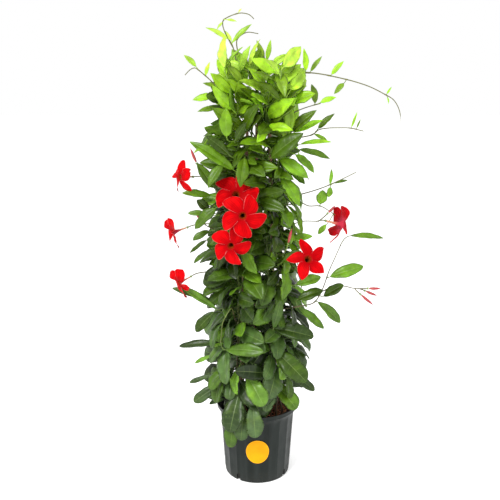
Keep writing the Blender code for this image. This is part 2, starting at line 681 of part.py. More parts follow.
def petal_point(s, q, lift, breadth):
    """A point on a petal that heads along +X: s from throat to tip, q from edge to edge.

    Narrow petals end in a point, and broad ones are blunt.
    """
    spread = math.pi / PETALS
    half = THROAT_RADIUS * math.sin(spread) * (1 - s)
    blunt = PETAL_BLUNT / breadth ** 2
    peak = PETAL_SWELL / (PETAL_SWELL + blunt)
    top = peak ** PETAL_SWELL * (1 - peak) ** blunt
    half += breadth * PETAL_WIDTH * s ** PETAL_SWELL * (1 - s) ** blunt / top
    across = math.sin(spread * q) / math.sin(spread)
    x = THROAT_RADIUS * (1 - (1 - s) * (1 - math.cos(spread * q))) + PETAL_LENGTH * s * math.cos(lift)
    y = half * across + PETAL_SKEW * PETAL_LENGTH * s * s
    z = PETAL_LENGTH * (math.sin(lift) * s - PETAL_CURL * s * s)
    z += PETAL_TILT * half * across * min(1, TILT_RISE * s)
    return Vector((x, y, FUNNEL + z))


def funnel_radius(h):
    """The radius of the flower's tube at a fraction h of the way up to its throat."""
    tube = TUBE_RADIUS + TUBE_GROWTH * h
    return tube + (THROAT_RADIUS - TUBE_RADIUS - TUBE_GROWTH) * h ** FUNNEL_POWER


def evaluated_mesh(thing):
    """A new mesh of an object as it looks with its modifiers."""
    graph = bpy.context.evaluated_depsgraph_get()
    return bpy.data.meshes.new_from_object(thing.evaluated_get(graph))


def collection(name):
    """A new collection in the scene."""
    made = bpy.data.collections.new(name)
    bpy.context.scene.collection.children.link(made)
    return made


def material(name, color, roughness, metallic=0.0):
    """A plain Principled material."""
    made = bpy.data.materials.new(name)
    made.use_nodes = True
    shader = made.node_tree.nodes["Principled BSDF"]
    shader.inputs["Base Color"].default_value = color
    shader.inputs["Roughness"].default_value = roughness
    shader.inputs["Metallic"].default_value = metallic
    return made


def mesh_object(name, bm, group, finish=None):
    """An object from a bmesh, with its faces turned outwards."""
    bmesh.ops.recalc_face_normals(bm, faces=bm.faces)
    mesh = bpy.data.meshes.new(name)
    bm.to_mesh(mesh)
    bm.free()
    made = bpy.data.objects.new(name, mesh)
    group.objects.link(made)
    if finish:
        mesh.materials.append(finish)
    return made


def listed_object(name, points, faces, group):
    """An object from a list of points and triangles."""
    bm = bmesh.new()
    verts = [bm.verts.new(p) for p in points]
    for face in faces:
        bm.faces.new([verts[i] for i in face])
    return mesh_object(name, bm, group)


def bridge(bm, lower, upper):
    """A band of quads between two rings of the same count."""
    count = len(lower)
    for i in range(count):
        j = (i + 1) % count
        bm.faces.new((lower[i], lower[j], upper[j], upper[i]))


def ring(bm, radius_at, height, steps):
    """A ring of points at a height, whose radius is a function of the step."""
    made = []
    for i in range(steps):
        turn = math.tau * i / steps
        radius = radius_at(i)
        made.append(bm.verts.new((radius * math.cos(turn), radius * math.sin(turn), height)))
    return made


def wall_radius(height):
    """The outer radius of the pot's tapered body at a height."""
    rise = (height - BASE_BEVEL) / (NECK_HEIGHT - BASE_BEVEL)
    return BASE_RADIUS + (BODY_RADIUS - BASE_RADIUS) * rise


def make_tube(name, route, foot_radius, tip_radius, group):
    """A closed four-sided tube along a route, tapering to its tip."""
    curve = bpy.data.curves.new(name, "CURVE")
    curve.dimensions = "3D"
    curve.bevel_depth = 1.0
    curve.bevel_resolution = 0
    curve.use_fill_caps = True
    line = curve.splines.new("POLY")
    line.points.add(len(route) - 1)
    for k, place in enumerate(route):
        line.points[k].co = (*place, 1)
        line.points[k].radius = foot_radius + (tip_radius - foot_radius) * k / (len(route) - 1)
    bent = bpy.data.objects.new(name, curve)
    group.objects.link(bent)
    mesh = evaluated_mesh(bent)
    bpy.data.objects.remove(bent)
    bpy.data.curves.remove(curve)
    bm = bmesh.new()
    bm.from_mesh(mesh)
    bpy.data.meshes.remove(mesh)
    bmesh.ops.remove_doubles(bm, verts=bm.verts, dist=WELD_DISTANCE)
    return mesh_object(name, bm, group)


def keep_body(mesh):
    """Keep a mesh's main body alone: hollows sealed by the union are filled and scraps dropped."""
    bm = bmesh.new()
    bm.from_mesh(mesh)
    shells = []
    seen = set()
    for start in bm.faces:
        if start in seen:
            continue
        shell = [start]
        seen.add(start)
        for face in shell:
            for edge in face.edges:
                for other in edge.link_faces:
                    if other not in seen:
                        seen.add(other)
                        shell.append(other)
        shells.append(shell)
    main = max(shells, key=len)
    spare = [face for shell in shells if shell is not main for face in shell]
    bmesh.ops.delete(bm, geom=spare, context="FACES")
    bm.to_mesh(mesh)
    bm.free()


def join_all(target, pieces):
    """Unite every object of a collection with the target, and clear the collection."""
    union = target.modifiers.new("union", "BOOLEAN")
    union.operation = "UNION"
    union.solver = "MANIFOLD"
    union.operand_type = "COLLECTION"
    union.collection = pieces
    mesh = evaluated_mesh(target)
    target.modifiers.clear()
    target.data = mesh
    keep_body(mesh)
    for piece in list(pieces.objects):
        bpy.data.objects.remove(piece)


def make_pot(group, cutters):
    """The fluted pot: flared rim, tapered body and four drain holes at the foot."""
    def fluted(radius):
        return lambda i: radius - (0 if i % STEPS_PER_FLUTE == 0 else FLUTE_DEPTH)

    def plain(radius):
        return lambda i: radius

    rim_foot = POT_HEIGHT - RIM_HEIGHT
    inner_neck = BODY_RADIUS - FLUTE_DEPTH - POT_WALL
    inner_base = BASE_RADIUS - FLUTE_DEPTH - POT_WALL
    levels = (
        (plain(BASE_RADIUS - BASE_BEVEL), 0.0),
        (plain(BASE_RADIUS - FLUTE_DEPTH), BASE_BEVEL),
        (fluted(wall_radius(2 * BASE_BEVEL)), 2 * BASE_BEVEL),
        (fluted(BODY_RADIUS), NECK_HEIGHT),
        (plain(RIM_RADIUS - RIM_LIP[0]), rim_foot - RIM_LIP[1]),
        (plain(RIM_RADIUS - RIM_FLARE), rim_foot),
        (plain(RIM_RADIUS), POT_HEIGHT),
        (plain(RIM_RADIUS - POT_WALL), POT_HEIGHT),
        (plain(inner_neck), NECK_HEIGHT),
        (plain(inner_base), POT_FLOOR),
    )
    bm = bmesh.new()
    rings = [ring(bm, radius, height, POT_STEPS) for radius, height in levels]
    for lower, upper in zip(rings, rings[1:]):
        bridge(bm, lower, upper)
    bm.faces.new(rings[0])
    bm.faces.new(rings[-1])
    pot = mesh_object("pot", bm, group, material("pot_plastic", (0.055, 0.068, 0.062, 1), 0.45))
    for k in range(DRAIN_HOLES):
        turn = DRAIN_FIRST - math.pi / 2 + k * math.tau / DRAIN_HOLES
        hole = bmesh.new()
        bmesh.ops.create_cube(hole, size=1)
        bmesh.ops.scale(hole, vec=DRAIN_SIZE, verts=hole.verts)
        cutter = mesh_object(f"drain_cutter_{k + 1}", hole, cutters)
        cutter.location = (BASE_RADIUS * math.cos(turn), BASE_RADIUS * math.sin(turn), 0)
        cutter.rotation_euler.z = turn
        cut = pot.modifiers.new(cutter.name, "BOOLEAN")
        cut.operation = "DIFFERENCE"
        cut.object = cutter
    return pot


def make_label(group):
    """A bare rounded label that follows the pot's wall at the front."""
    bm = bmesh.new()
    rings = []
    for share in LABEL_RINGS:
        loop = []
        for i in range(LABEL_STEPS):
            turn = math.tau * i / LABEL_STEPS
            height = LABEL_HEIGHT + LABEL_RISE * share * math.sin(turn)
            radius = wall_radius(height) + LABEL_LIFT
            bend = LABEL_RADIUS * share * math.cos(turn) / radius - math.pi / 2
            loop.append(bm.verts.new((radius * math.cos(bend), radius * math.sin(bend), height)))
        rings.append(loop)
    bridge(bm, rings[0], rings[1])
    middle = bm.verts.new((0, -wall_radius(LABEL_HEIGHT) - LABEL_LIFT, LABEL_HEIGHT))
    for i in range(LABEL_STEPS):
        bm.faces.new((rings[1][i], rings[1][(i + 1) % LABEL_STEPS], middle))
    label = mesh_object("label", bm, group, material("label_amber", (0.90, 0.45, 0.02, 1), 0.4))
    shell = label.modifiers.new("thickness", "SOLIDIFY")
    shell.thickness = LABEL_THICKNESS
    shell.offset = 0
    return label


def make_soil(group, cutters, routes):
    """The filling of potting soil, with a plain hole for each stem and cane."""
    def inner(height):
        rise = (height - POT_FLOOR) / (NECK_HEIGHT - POT_FLOOR)
        lower = BASE_RADIUS - FLUTE_DEPTH - POT_WALL
        return lower + (BODY_RADIUS - BASE_RADIUS) * rise - SOIL_GAP

    bm = bmesh.new()
    bottom = POT_FLOOR + GAP
    heights = (bottom, SOIL_EDGE, SOIL_CROWN)
    radii = (inner(bottom), inner(SOIL_EDGE), SOIL_CROWN_RADIUS)
    rings = [ring(bm, lambda i, r=r: r, z, SOIL_STEPS) for r, z in zip(radii, heights)]
    bridge(bm, rings[0], rings[1])
    bridge(bm, rings[1], rings[2])
    bm.faces.new(rings[0])
    bm.faces.new(rings[2])
    soil = mesh_object("soil", bm, group, material("potting_soil", (0.030, 0.018, 0.012, 1), 0.95))
    holes = []
    for route in routes:
        depth = SOIL_CROWN + HOLE_OVER - (SOIL_EDGE - STEM_DEPTH - GAP)
        middle = Vector((route[0].x, route[0].y, SOIL_EDGE - STEM_DEPTH - GAP + depth / 2))
        holes.append((middle, Matrix.Identity(3), STEM_FOOT_RADIUS, depth))
    for cane in range(CANE_COUNT):
        lean, foot, _ = cane_line(cane)
        depth = CANE_DEPTH + 2 * HOLE_OVER
        middle = foot + lean * (depth / 2 - GAP)
        turned = lean.to_track_quat("Z", "Y").to_matrix()
        holes.append((middle, turned, CANE_RADIUS * CANE_JOINT_WIDTH, depth))
    for k, (middle, turned, radius, depth) in enumerate(holes):
        hole = bmesh.new()
        wide = (radius + GAP) / math.cos(math.pi / HOLE_SIDES)
        bmesh.ops.create_cone(hole, cap_ends=True, segments=HOLE_SIDES, radius1=wide, radius2=wide,
                              depth=depth)
        cutter = mesh_object(f"hole_cutter_{k + 1:02d}", hole, cutters)
        cutter.matrix_world = Matrix.Translation(middle) @ turned.to_4x4()
    cut = soil.modifiers.new("holes", "BOOLEAN")
    cut.operation = "DIFFERENCE"
    cut.operand_type = "COLLECTION"
    cut.collection = cutters
    return soil


def cane_line(cane):
    """A cane's direction, foot and length."""
    foot = cane_axis(cane, SOIL_EDGE - CANE_DEPTH)
    top = cane_axis(cane, CANE_TOP)
    return (top - foot).normalized(), foot, (top - foot).length


def make_cane(cane, group, finish):
    """A bamboo cane: a slightly tapered rod with raised joints."""
    lean, foot, length = cane_line(cane)
    levels = [(0.0, 1.0)]
    for joint in range(CANE_JOINTS):
        middle = (joint + CANE_JOINT_SHARE) / CANE_JOINTS
        levels.append((middle - CANE_JOINT_REACH, 1.0))
        levels.append((middle, CANE_JOINT_WIDTH))
        levels.append((middle + CANE_JOINT_REACH, 1.0))
    levels.append((1.0, CANE_TOP_WIDTH))
    bm = bmesh.new()
    rings = [ring(bm, lambda i, w=w: CANE_RADIUS * w, length * share, CANE_SIDES) for share, w in levels]
    for lower, upper in zip(rings, rings[1:]):
        bridge(bm, lower, upper)
    bm.faces.new(rings[0])
    bm.faces.new(rings[-1])
    made = mesh_object(f"cane_{cane + 1}", bm, group, finish)
    made.location = foot
    made.rotation_mode = "QUATERNION"
    made.rotation_quaternion = lean.to_track_quat("Z", "Y")
    return made


def make_bloom(number, throat, facing, size, lift, turn, breadth, group, finish):
    """A corolla: a funnel that opens into five petals set like a pinwheel."""
    columns = 2 * PETALS
    bm = bmesh.new()
    rings = []
    for h in FUNNEL_RINGS:
        radius = funnel_radius(h)
        rings.append(ring(bm, lambda i, r=radius: r, FUNNEL * h, columns))
    for lower, upper in zip(rings, rings[1:]):
        bridge(bm, lower, upper)
    bm.faces.new(rings[0])
    mouth = rings[-1]
    for petal in range(PETALS):
        middle = 2 * petal
        spin = Matrix.Rotation(math.tau * petal / PETALS, 3, "Z")
        last = [mouth[middle - 1], mouth[middle], mouth[(middle + 1) % columns]]
        for s in PETAL_ROWS:
            row = [bm.verts.new(spin @ petal_point(s, q, lift, breadth)) for q in (-1, 0, 1)]
            bm.faces.new((last[0], last[1], row[1], row[0]))
            bm.faces.new((last[1], last[2], row[2], row[1]))
            last = row
        tip = bm.verts.new(spin @ petal_point(1.0, 0, lift, breadth))
        bm.faces.new((last[0], last[1], tip))
        bm.faces.new((last[1], last[2], tip))
    made = mesh_object(f"bloom_{number + 1}", bm, group, finish)
    shell = made.modifiers.new("thickness", "SOLIDIFY")
    shell.thickness = PETAL_THICKNESS
    shell.offset = 0
    facing = facing.normalized()
    made.rotation_mode = "QUATERNION"
    pose = facing.to_track_quat("Z", "Y") @ Matrix.Rotation(math.radians(turn), 3, "Z").to_quaternion()
    made.rotation_quaternion = pose
    made.data.transform(Matrix.Scale(size, 4))
    made.location = throat - facing * FUNNEL * size
    return made


def make_bud(number, foot, tip, group, finish):
    """A closed bud: a slim pointed spindle."""
    length = (tip - foot).length
    slim = min(1.0, BUD_SLIM + (1 - BUD_SLIM) * length / BUD_FULL_LENGTH)
    bm = bmesh.new()
    rings = []
    for share, width in BUD_PROFILE:
        rings.append(ring(bm, lambda i, w=width: BUD_RADIUS * slim * w, length * share, BUD_SIDES))
    for lower, upper in zip(rings, rings[1:]):
        bridge(bm, lower, upper)
    bm.faces.new(rings[0])
    point = bm.verts.new((0, 0, length))
    for i in range(BUD_SIDES):
        bm.faces.new((rings[-1][i], rings[-1][(i + 1) % BUD_SIDES], point))
    made = mesh_object(f"bud_{number + 1}", bm, group, finish)
    made.location = foot
    made.rotation_mode = "QUATERNION"
    made.rotation_quaternion = (tip - foot).to_track_quat("Z", "Y")
    return made


def make_calyx(seat, facing, pieces):
    """The small green cup that a bloom or bud stands on."""
    bm = bmesh.new()
    lower = ring(bm, lambda i: CALYX_FOOT_RADIUS, -CALYX_ROOT, CALYX_SIDES)
    upper = ring(bm, lambda i: CALYX_RADIUS, CALYX_HEIGHT, CALYX_SIDES)
    bridge(bm, lower, upper)
    bm.faces.new(lower)
    bm.faces.new(upper)
    turned = Matrix.Translation(seat) @ facing.to_track_quat("Z", "Y").to_matrix().to_4x4()
    bmesh.ops.transform(bm, matrix=turned, verts=bm.verts)
    return mesh_object("calyx", bm, pieces)


def make_stem(number, plant, group, pieces, finish):
    """A climbing stem with its shoots, stalks, calyxes and leaves, all in one body."""
    name = f"leafy_stem_{number + 1:02d}"
    stem = make_tube(name, plant.routes[number], STEM_FOOT_RADIUS, STEM_TIP_RADIUS, group)
    for k, (route, foot_radius, tip_radius) in enumerate(plant.tubes[number]):
        make_tube(f"shoot_{k}", route, foot_radius, tip_radius, pieces)
    for seat, facing in plant.calyxes[number]:
        make_calyx(seat, facing, pieces)
    for k, leaf in enumerate(plant.leaves[number]):
        points, faces = leaf.solid()
        listed_object(f"leaf_{k}", points, faces, pieces)
    join_all(stem, pieces)
    stem.data.materials.clear()
    stem.data.materials.append(finish)
    return stem


def build():
    """The whole potted plant."""
    for thing in list(bpy.data.objects):
        bpy.data.objects.remove(thing)
    group = collection("potted_mandevilla")
    pot_cutters = collection("pot_cutters")
    soil_cutters = collection("soil_cutters")
    pieces = collection("pieces")

    crowd = Crowd()
    plant = Plant(crowd)
    pot = make_pot(group, pot_cutters)
    make_label(group)
    soil = make_soil(group, soil_cutters, plant.routes)
    bamboo = material("bamboo", (0.45, 0.30, 0.13, 1), 0.6)
    canes = [make_cane(k, group, bamboo) for k in range(CANE_COUNT)]
    for cutter in list(pot_cutters.objects) + list(soil_cutters.objects):
        cutter.display_type = "WIRE"
        cutter.hide_render = True
    bpy.context.view_layer.update()
    for thing in [pot, soil] + canes:
        crowd.add_object(thing)

    for places in SHOOTS:
        plant.grow_shoot(places)
    red = material("red_petals", (0.80, 0.004, 0.010, 1), 0.45)
    rose = material("rose_buds", (0.75, 0.10, 0.09, 1), 0.5)
    for k, (throat, facing, size, lift, turn, breadth) in enumerate(BLOOMS):
        bloom = make_bloom(k, throat, facing, size, lift, turn, breadth, group, red)
        plant.grow_stalk(bloom.location.copy(), facing.normalized())
        bpy.context.view_layer.update()
        crowd.add_object(bloom)
    for k, (foot, tip) in enumerate(BUDS):
        bud = make_bud(k, foot, tip, group, rose)
        plant.grow_stalk(foot, (tip - foot).normalized())
        bpy.context.view_layer.update()
        crowd.add_object(bud)
    for number, route in enumerate(plant.routes):
        tubes = [(route, STEM_FOOT_RADIUS, STEM_TIP_RADIUS)] + plant.tubes[number]
        for line, foot_radius, tip_radius in tubes:
            tube = make_tube("trial", line, foot_radius, tip_radius, pieces)
            crowd.add_object(tube, number)
            bpy.data.objects.remove(tube)

    for number, (foot, tip, width) in enumerate(PLACED_LEAVES):
        plant.place_leaf(number, foot, tip, width)
    plant.grow_pairs()

    leafy = material("leaf_green", (0.055, 0.150, 0.028, 1), 0.4)
    for number in range(len(plant.routes)):
        make_stem(number, plant, group, pieces, leafy)
    bpy.data.collections.remove(pieces)


build()
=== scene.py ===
"""Looks of the potted mandevilla: the same growth as its solids, with finer leaves, blooms and pot.

Metres, +Z up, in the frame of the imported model. -Y is the front.
"""
import math
import random

import bmesh
import bpy
import numpy as np
from mathutils import Matrix, Vector
from mathutils.bvhtree import BVHTree


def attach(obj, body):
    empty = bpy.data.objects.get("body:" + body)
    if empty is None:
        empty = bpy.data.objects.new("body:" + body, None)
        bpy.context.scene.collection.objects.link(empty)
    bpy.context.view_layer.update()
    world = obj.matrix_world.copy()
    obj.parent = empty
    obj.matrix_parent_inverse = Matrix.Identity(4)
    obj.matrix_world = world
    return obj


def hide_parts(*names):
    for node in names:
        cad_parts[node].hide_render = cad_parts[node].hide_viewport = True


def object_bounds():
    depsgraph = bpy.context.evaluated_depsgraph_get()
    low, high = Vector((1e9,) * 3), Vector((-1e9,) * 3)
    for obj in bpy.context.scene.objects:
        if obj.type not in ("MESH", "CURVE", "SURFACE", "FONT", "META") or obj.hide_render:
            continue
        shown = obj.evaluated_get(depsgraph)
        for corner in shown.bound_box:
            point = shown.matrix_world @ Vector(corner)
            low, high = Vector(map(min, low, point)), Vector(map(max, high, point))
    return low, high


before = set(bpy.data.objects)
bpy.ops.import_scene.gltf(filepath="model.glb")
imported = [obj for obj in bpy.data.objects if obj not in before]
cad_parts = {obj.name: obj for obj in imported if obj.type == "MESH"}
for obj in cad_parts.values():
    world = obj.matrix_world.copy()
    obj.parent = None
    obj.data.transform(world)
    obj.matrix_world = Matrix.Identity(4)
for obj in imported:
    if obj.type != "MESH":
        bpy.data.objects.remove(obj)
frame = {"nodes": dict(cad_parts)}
CAD_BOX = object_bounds()

# Pot
POT_HEIGHT = 0.214
RIM_RADIUS = 0.1175
RIM_HEIGHT = 0.012
NECK_HEIGHT = 0.187
BODY_RADIUS = 0.1065
BASE_RADIUS = 0.0945
BASE_BEVEL = 0.003
POT_WALL = 0.002
POT_FLOOR = 0.004
FLUTES = 20
FLUTE_DEPTH = 0.0012
DRAIN_HOLES = 4
DRAIN_FIRST = math.radians(55)
DRAIN_SIZE = (0.030, 0.011, 0.044)
GAP = 0.0003

# Label, a little taller than it is wide
LABEL_RADIUS = 0.0328
LABEL_RISE = 0.0362
LABEL_HEIGHT = 0.102
LABEL_THICKNESS = 0.0006
LABEL_LIFT = GAP + 0.0005

# Soil, with the depth that canes and stems reach into it
SOIL_EDGE = 0.176
SOIL_CROWN = 0.182
SOIL_GAP = 1.2 * GAP
CANE_DEPTH = 0.090
STEM_DEPTH = 0.050

# Canes
CANE_COUNT = 3
CANE_RADIUS = 0.0045
CANE_TOP = 1.000
CANE_FOOT_SPREAD = 0.060
CANE_TOP_SPREAD = 0.034
CANE_FIRST = math.radians(-25)
CANE_JOINTS = 3
CANE_JOINT_WIDTH = 1.12
CANE_TOP_WIDTH = 0.85

# Climbing stems, which twine up the canes
STEMS_PER_CANE = 4
STEM_FOOT_RADIUS = 0.0030
STEM_TIP_RADIUS = 0.0014
FOOT_OFFSET = 0.0155
FOOT_RISE = 0.006
TWINE_FOOT = SOIL_CROWN + 0.03
TWINE_RADIUS = 0.0125
TWINE_SWELL = 0.002
TWINE_SWELL_RATE = 2.3
TWINE_PITCH = 0.32
LOOSE_HEIGHT = 0.88
LOOSE_SPREAD = 0.23
TWINE_STEP = math.radians(72)
STEM_TOPS = (1.120, 1.055, 1.095, 1.020)
STEM_TIP_LEAN = 0.014
STEM_TIP_RISE = 0.030
SHOOT_RADIUS = 0.0012
SHOOT_TAPER = 0.6
SHOOT_STEP = 0.034
STALK_RADIUS = 0.0010
STALK_BACK = 0.020
STALK_DROP = Vector((0, 0, 0.012))
STALK_BEND = 0.4
STALK_LOWER = 0.6
STALK_UPPER = 0.7
ROOT_END = 0.02
STEM_APART = 0.005
APART_STEPS = 8

# Leaves
FIRST_PAIR = 0.232
LEAF_TOP = 1.11
YOUNG_HEIGHT = 1.0
PETIOLE_RADIUS = 0.0008
ROOT_RADIUS = 0.00045
MIDRIB_UP = 0.0004
MIDRIB_DOWN = 0.0010
NARROW_STATIONS = (0.45,)
BLADE_STATIONS = (0.33, 0.7)
WIDE_STATIONS = (0.2, 0.5, 0.8)
PLAIN_WIDTH = 0.0245
DETAILED_WIDTH = 0.0635
FOLD_RANGE = (6, 22)
TWIST_RANGE = (-22, 22)
WAVE_DEPTH = 0.035
WAVE_RANGE = (0.4, 1.4)
WAVE_RATE = 10
CLEARANCE = 0.0005
ROOT_CLEAR = 0.007
CROWN_CENTRE = Vector((-0.012, 0.0, 0.0))

# Drawn pairs: each habit is the ranges of drop, petiole's length and turn, and the petiole's rise
PAIR_SEED = 6000
PAIR_DRAWS = 40
PAIR_STAGGER = 0.031
PAIR_SHIFT = 0.0008
TOP_PAIR = 0.97
HANGING_SHARE = 0.24
SPREADING_SHARE = 0.38
HANGING = ((25, 50), (1.2, 3.2), (0, 50), 0.9)
SPREADING = ((0, 15), (1.0, 2.8), (60, 100), 0.25)
OUTWARD = ((0, 0), (0.9, 1.6), (15, 60), 0.25)
PITCH_RANGE = (-20, 20)
LENGTH_RANGE = (0.85, 1.15)
ROLL_RANGE = (-28, 28)
DROOP_RANGE = (-14, 14)
LEAST_DROOP = 6
TIP_RANGE = (0.82, 1.14)
PETIOLE_LEAN = 0.6
OUTWARD_FACE = 0.9
UPWARD_FACE = Vector((0, 0, 0.7))

# Placed leaves: how far each may move and turn until it stands clear, and the way it faces
PLACED_DRAWS = 80
NEAREST_DRAWS = 6
NEAREST_STEMS = 3
FOOT_BACK = 0.008
TIP_PLAY = 0.030
FACE_PLAY = 0.5
FACE_OUT = 0.25
FACE_WAY = Vector((0, -0.65, 0.70))
ARCH_RANGE = (16, 34)
ARCH_PLAY = 20

# Blooms and buds
FUNNEL = 0.050
THROAT_RADIUS = 0.011
PETALS = 5
PETAL_LENGTH = 0.049
PETAL_WIDTH = 0.0235
PETAL_SWELL = 0.95
PETAL_BLUNT = 0.36
PETAL_SKEW = 0.34
PETAL_TILT = 0.22
TILT_RISE = 2.5
TUBE_RADIUS = 0.0024
TUBE_GROWTH = 0.0006
FUNNEL_POWER = 3.2
PETAL_CURL = 0.18
CALYX_SIDES = 5
CALYX_HEIGHT = 0.006
BUD_RADIUS = 0.0036
BUD_FULL_LENGTH = 0.030
BUD_SLIM = 0.5
BUD_PROFILE = ((0.0, 0.5), (0.35, 1.0), (0.7, 0.75))

# Long free shoots, in millimetres: places along each, from the crown outwards
SHOOTS = (
    # the tallest tip, which hooks over at its end
    ((-52, -30, 1153), (-62, -30, 1190), (-70, -30, 1207), (-86, -30, 1236),
     (-90, -30, 1258), (-80, -30, 1268), (-49, -30, 1279), (-24, -30, 1276), (-11, -30, 1265)),
    # a fine tip beside it
    ((-52, -32, 1180), (-54, -34, 1214), (-30, -36, 1232), (0, -38, 1229)),
    # the sprig at the left shoulder
    ((-107, -20, 1101), (-130, -20, 1121), (-148, -20, 1136), (-163, -20, 1146),
     (-176, -20, 1141), (-189, -20, 1128)),
    # the long runner to the right, which hangs over at its tip
    ((59, 0, 1130), (85, 0, 1134), (140, 0, 1134), (192, 0, 1126), (256, 0, 1111),
     (295, 0, 1098), (336, 0, 1078), (357, 0, 1065), (371, 0, 1044), (378, 0, 1021),
     (381, 0, 1003)),
    # the second runner, below it
    ((95, 0, 965), (143, 0, 974), (160, 0, 987), (185, 0, 992), (246, 0, 992), (281, 0, 984)),
    # the runner at mid height
    ((75, 0, 785), (117, 0, 791), (139, 0, 783), (169, 0, 783), (191, 0, 772), (212, 0, 758)),
    # the tendril above it
    ((80, 0, 800), (111, 0, 813), (149, 0, 824), (188, 0, 838), (233, 0, 859), (265, 0, 875)),
    # the flower stalk at the right, which carries the bloom seen from behind
    ((60, -30, 728), (106, -20, 740), (128, -10, 743), (166, -4, 741)),
    # the low shoot at the right
    ((60, -50, 505), (110, -58, 515), (150, -60, 525), (169, -50, 545), (182, -30, 565),
     (198, -10, 603), (214, 0, 637), (229, 0, 674)),
    # the stalk of the low buds
    ((176, -42, 553), (205, -35, 563), (237, -30, 565), (262, -30, 559), (290, -30, 557)),
    # the small shoot at the right shoulder
    ((70, -20, 1020), (110, -10, 1040), (148, 0, 1052), (165, 0, 1056)),
    # the pale shoot that arches down at the front left
    ((-60, -50, 470), (-72, -92, 520), (-92, -108, 490), (-100, -104, 430)),
)

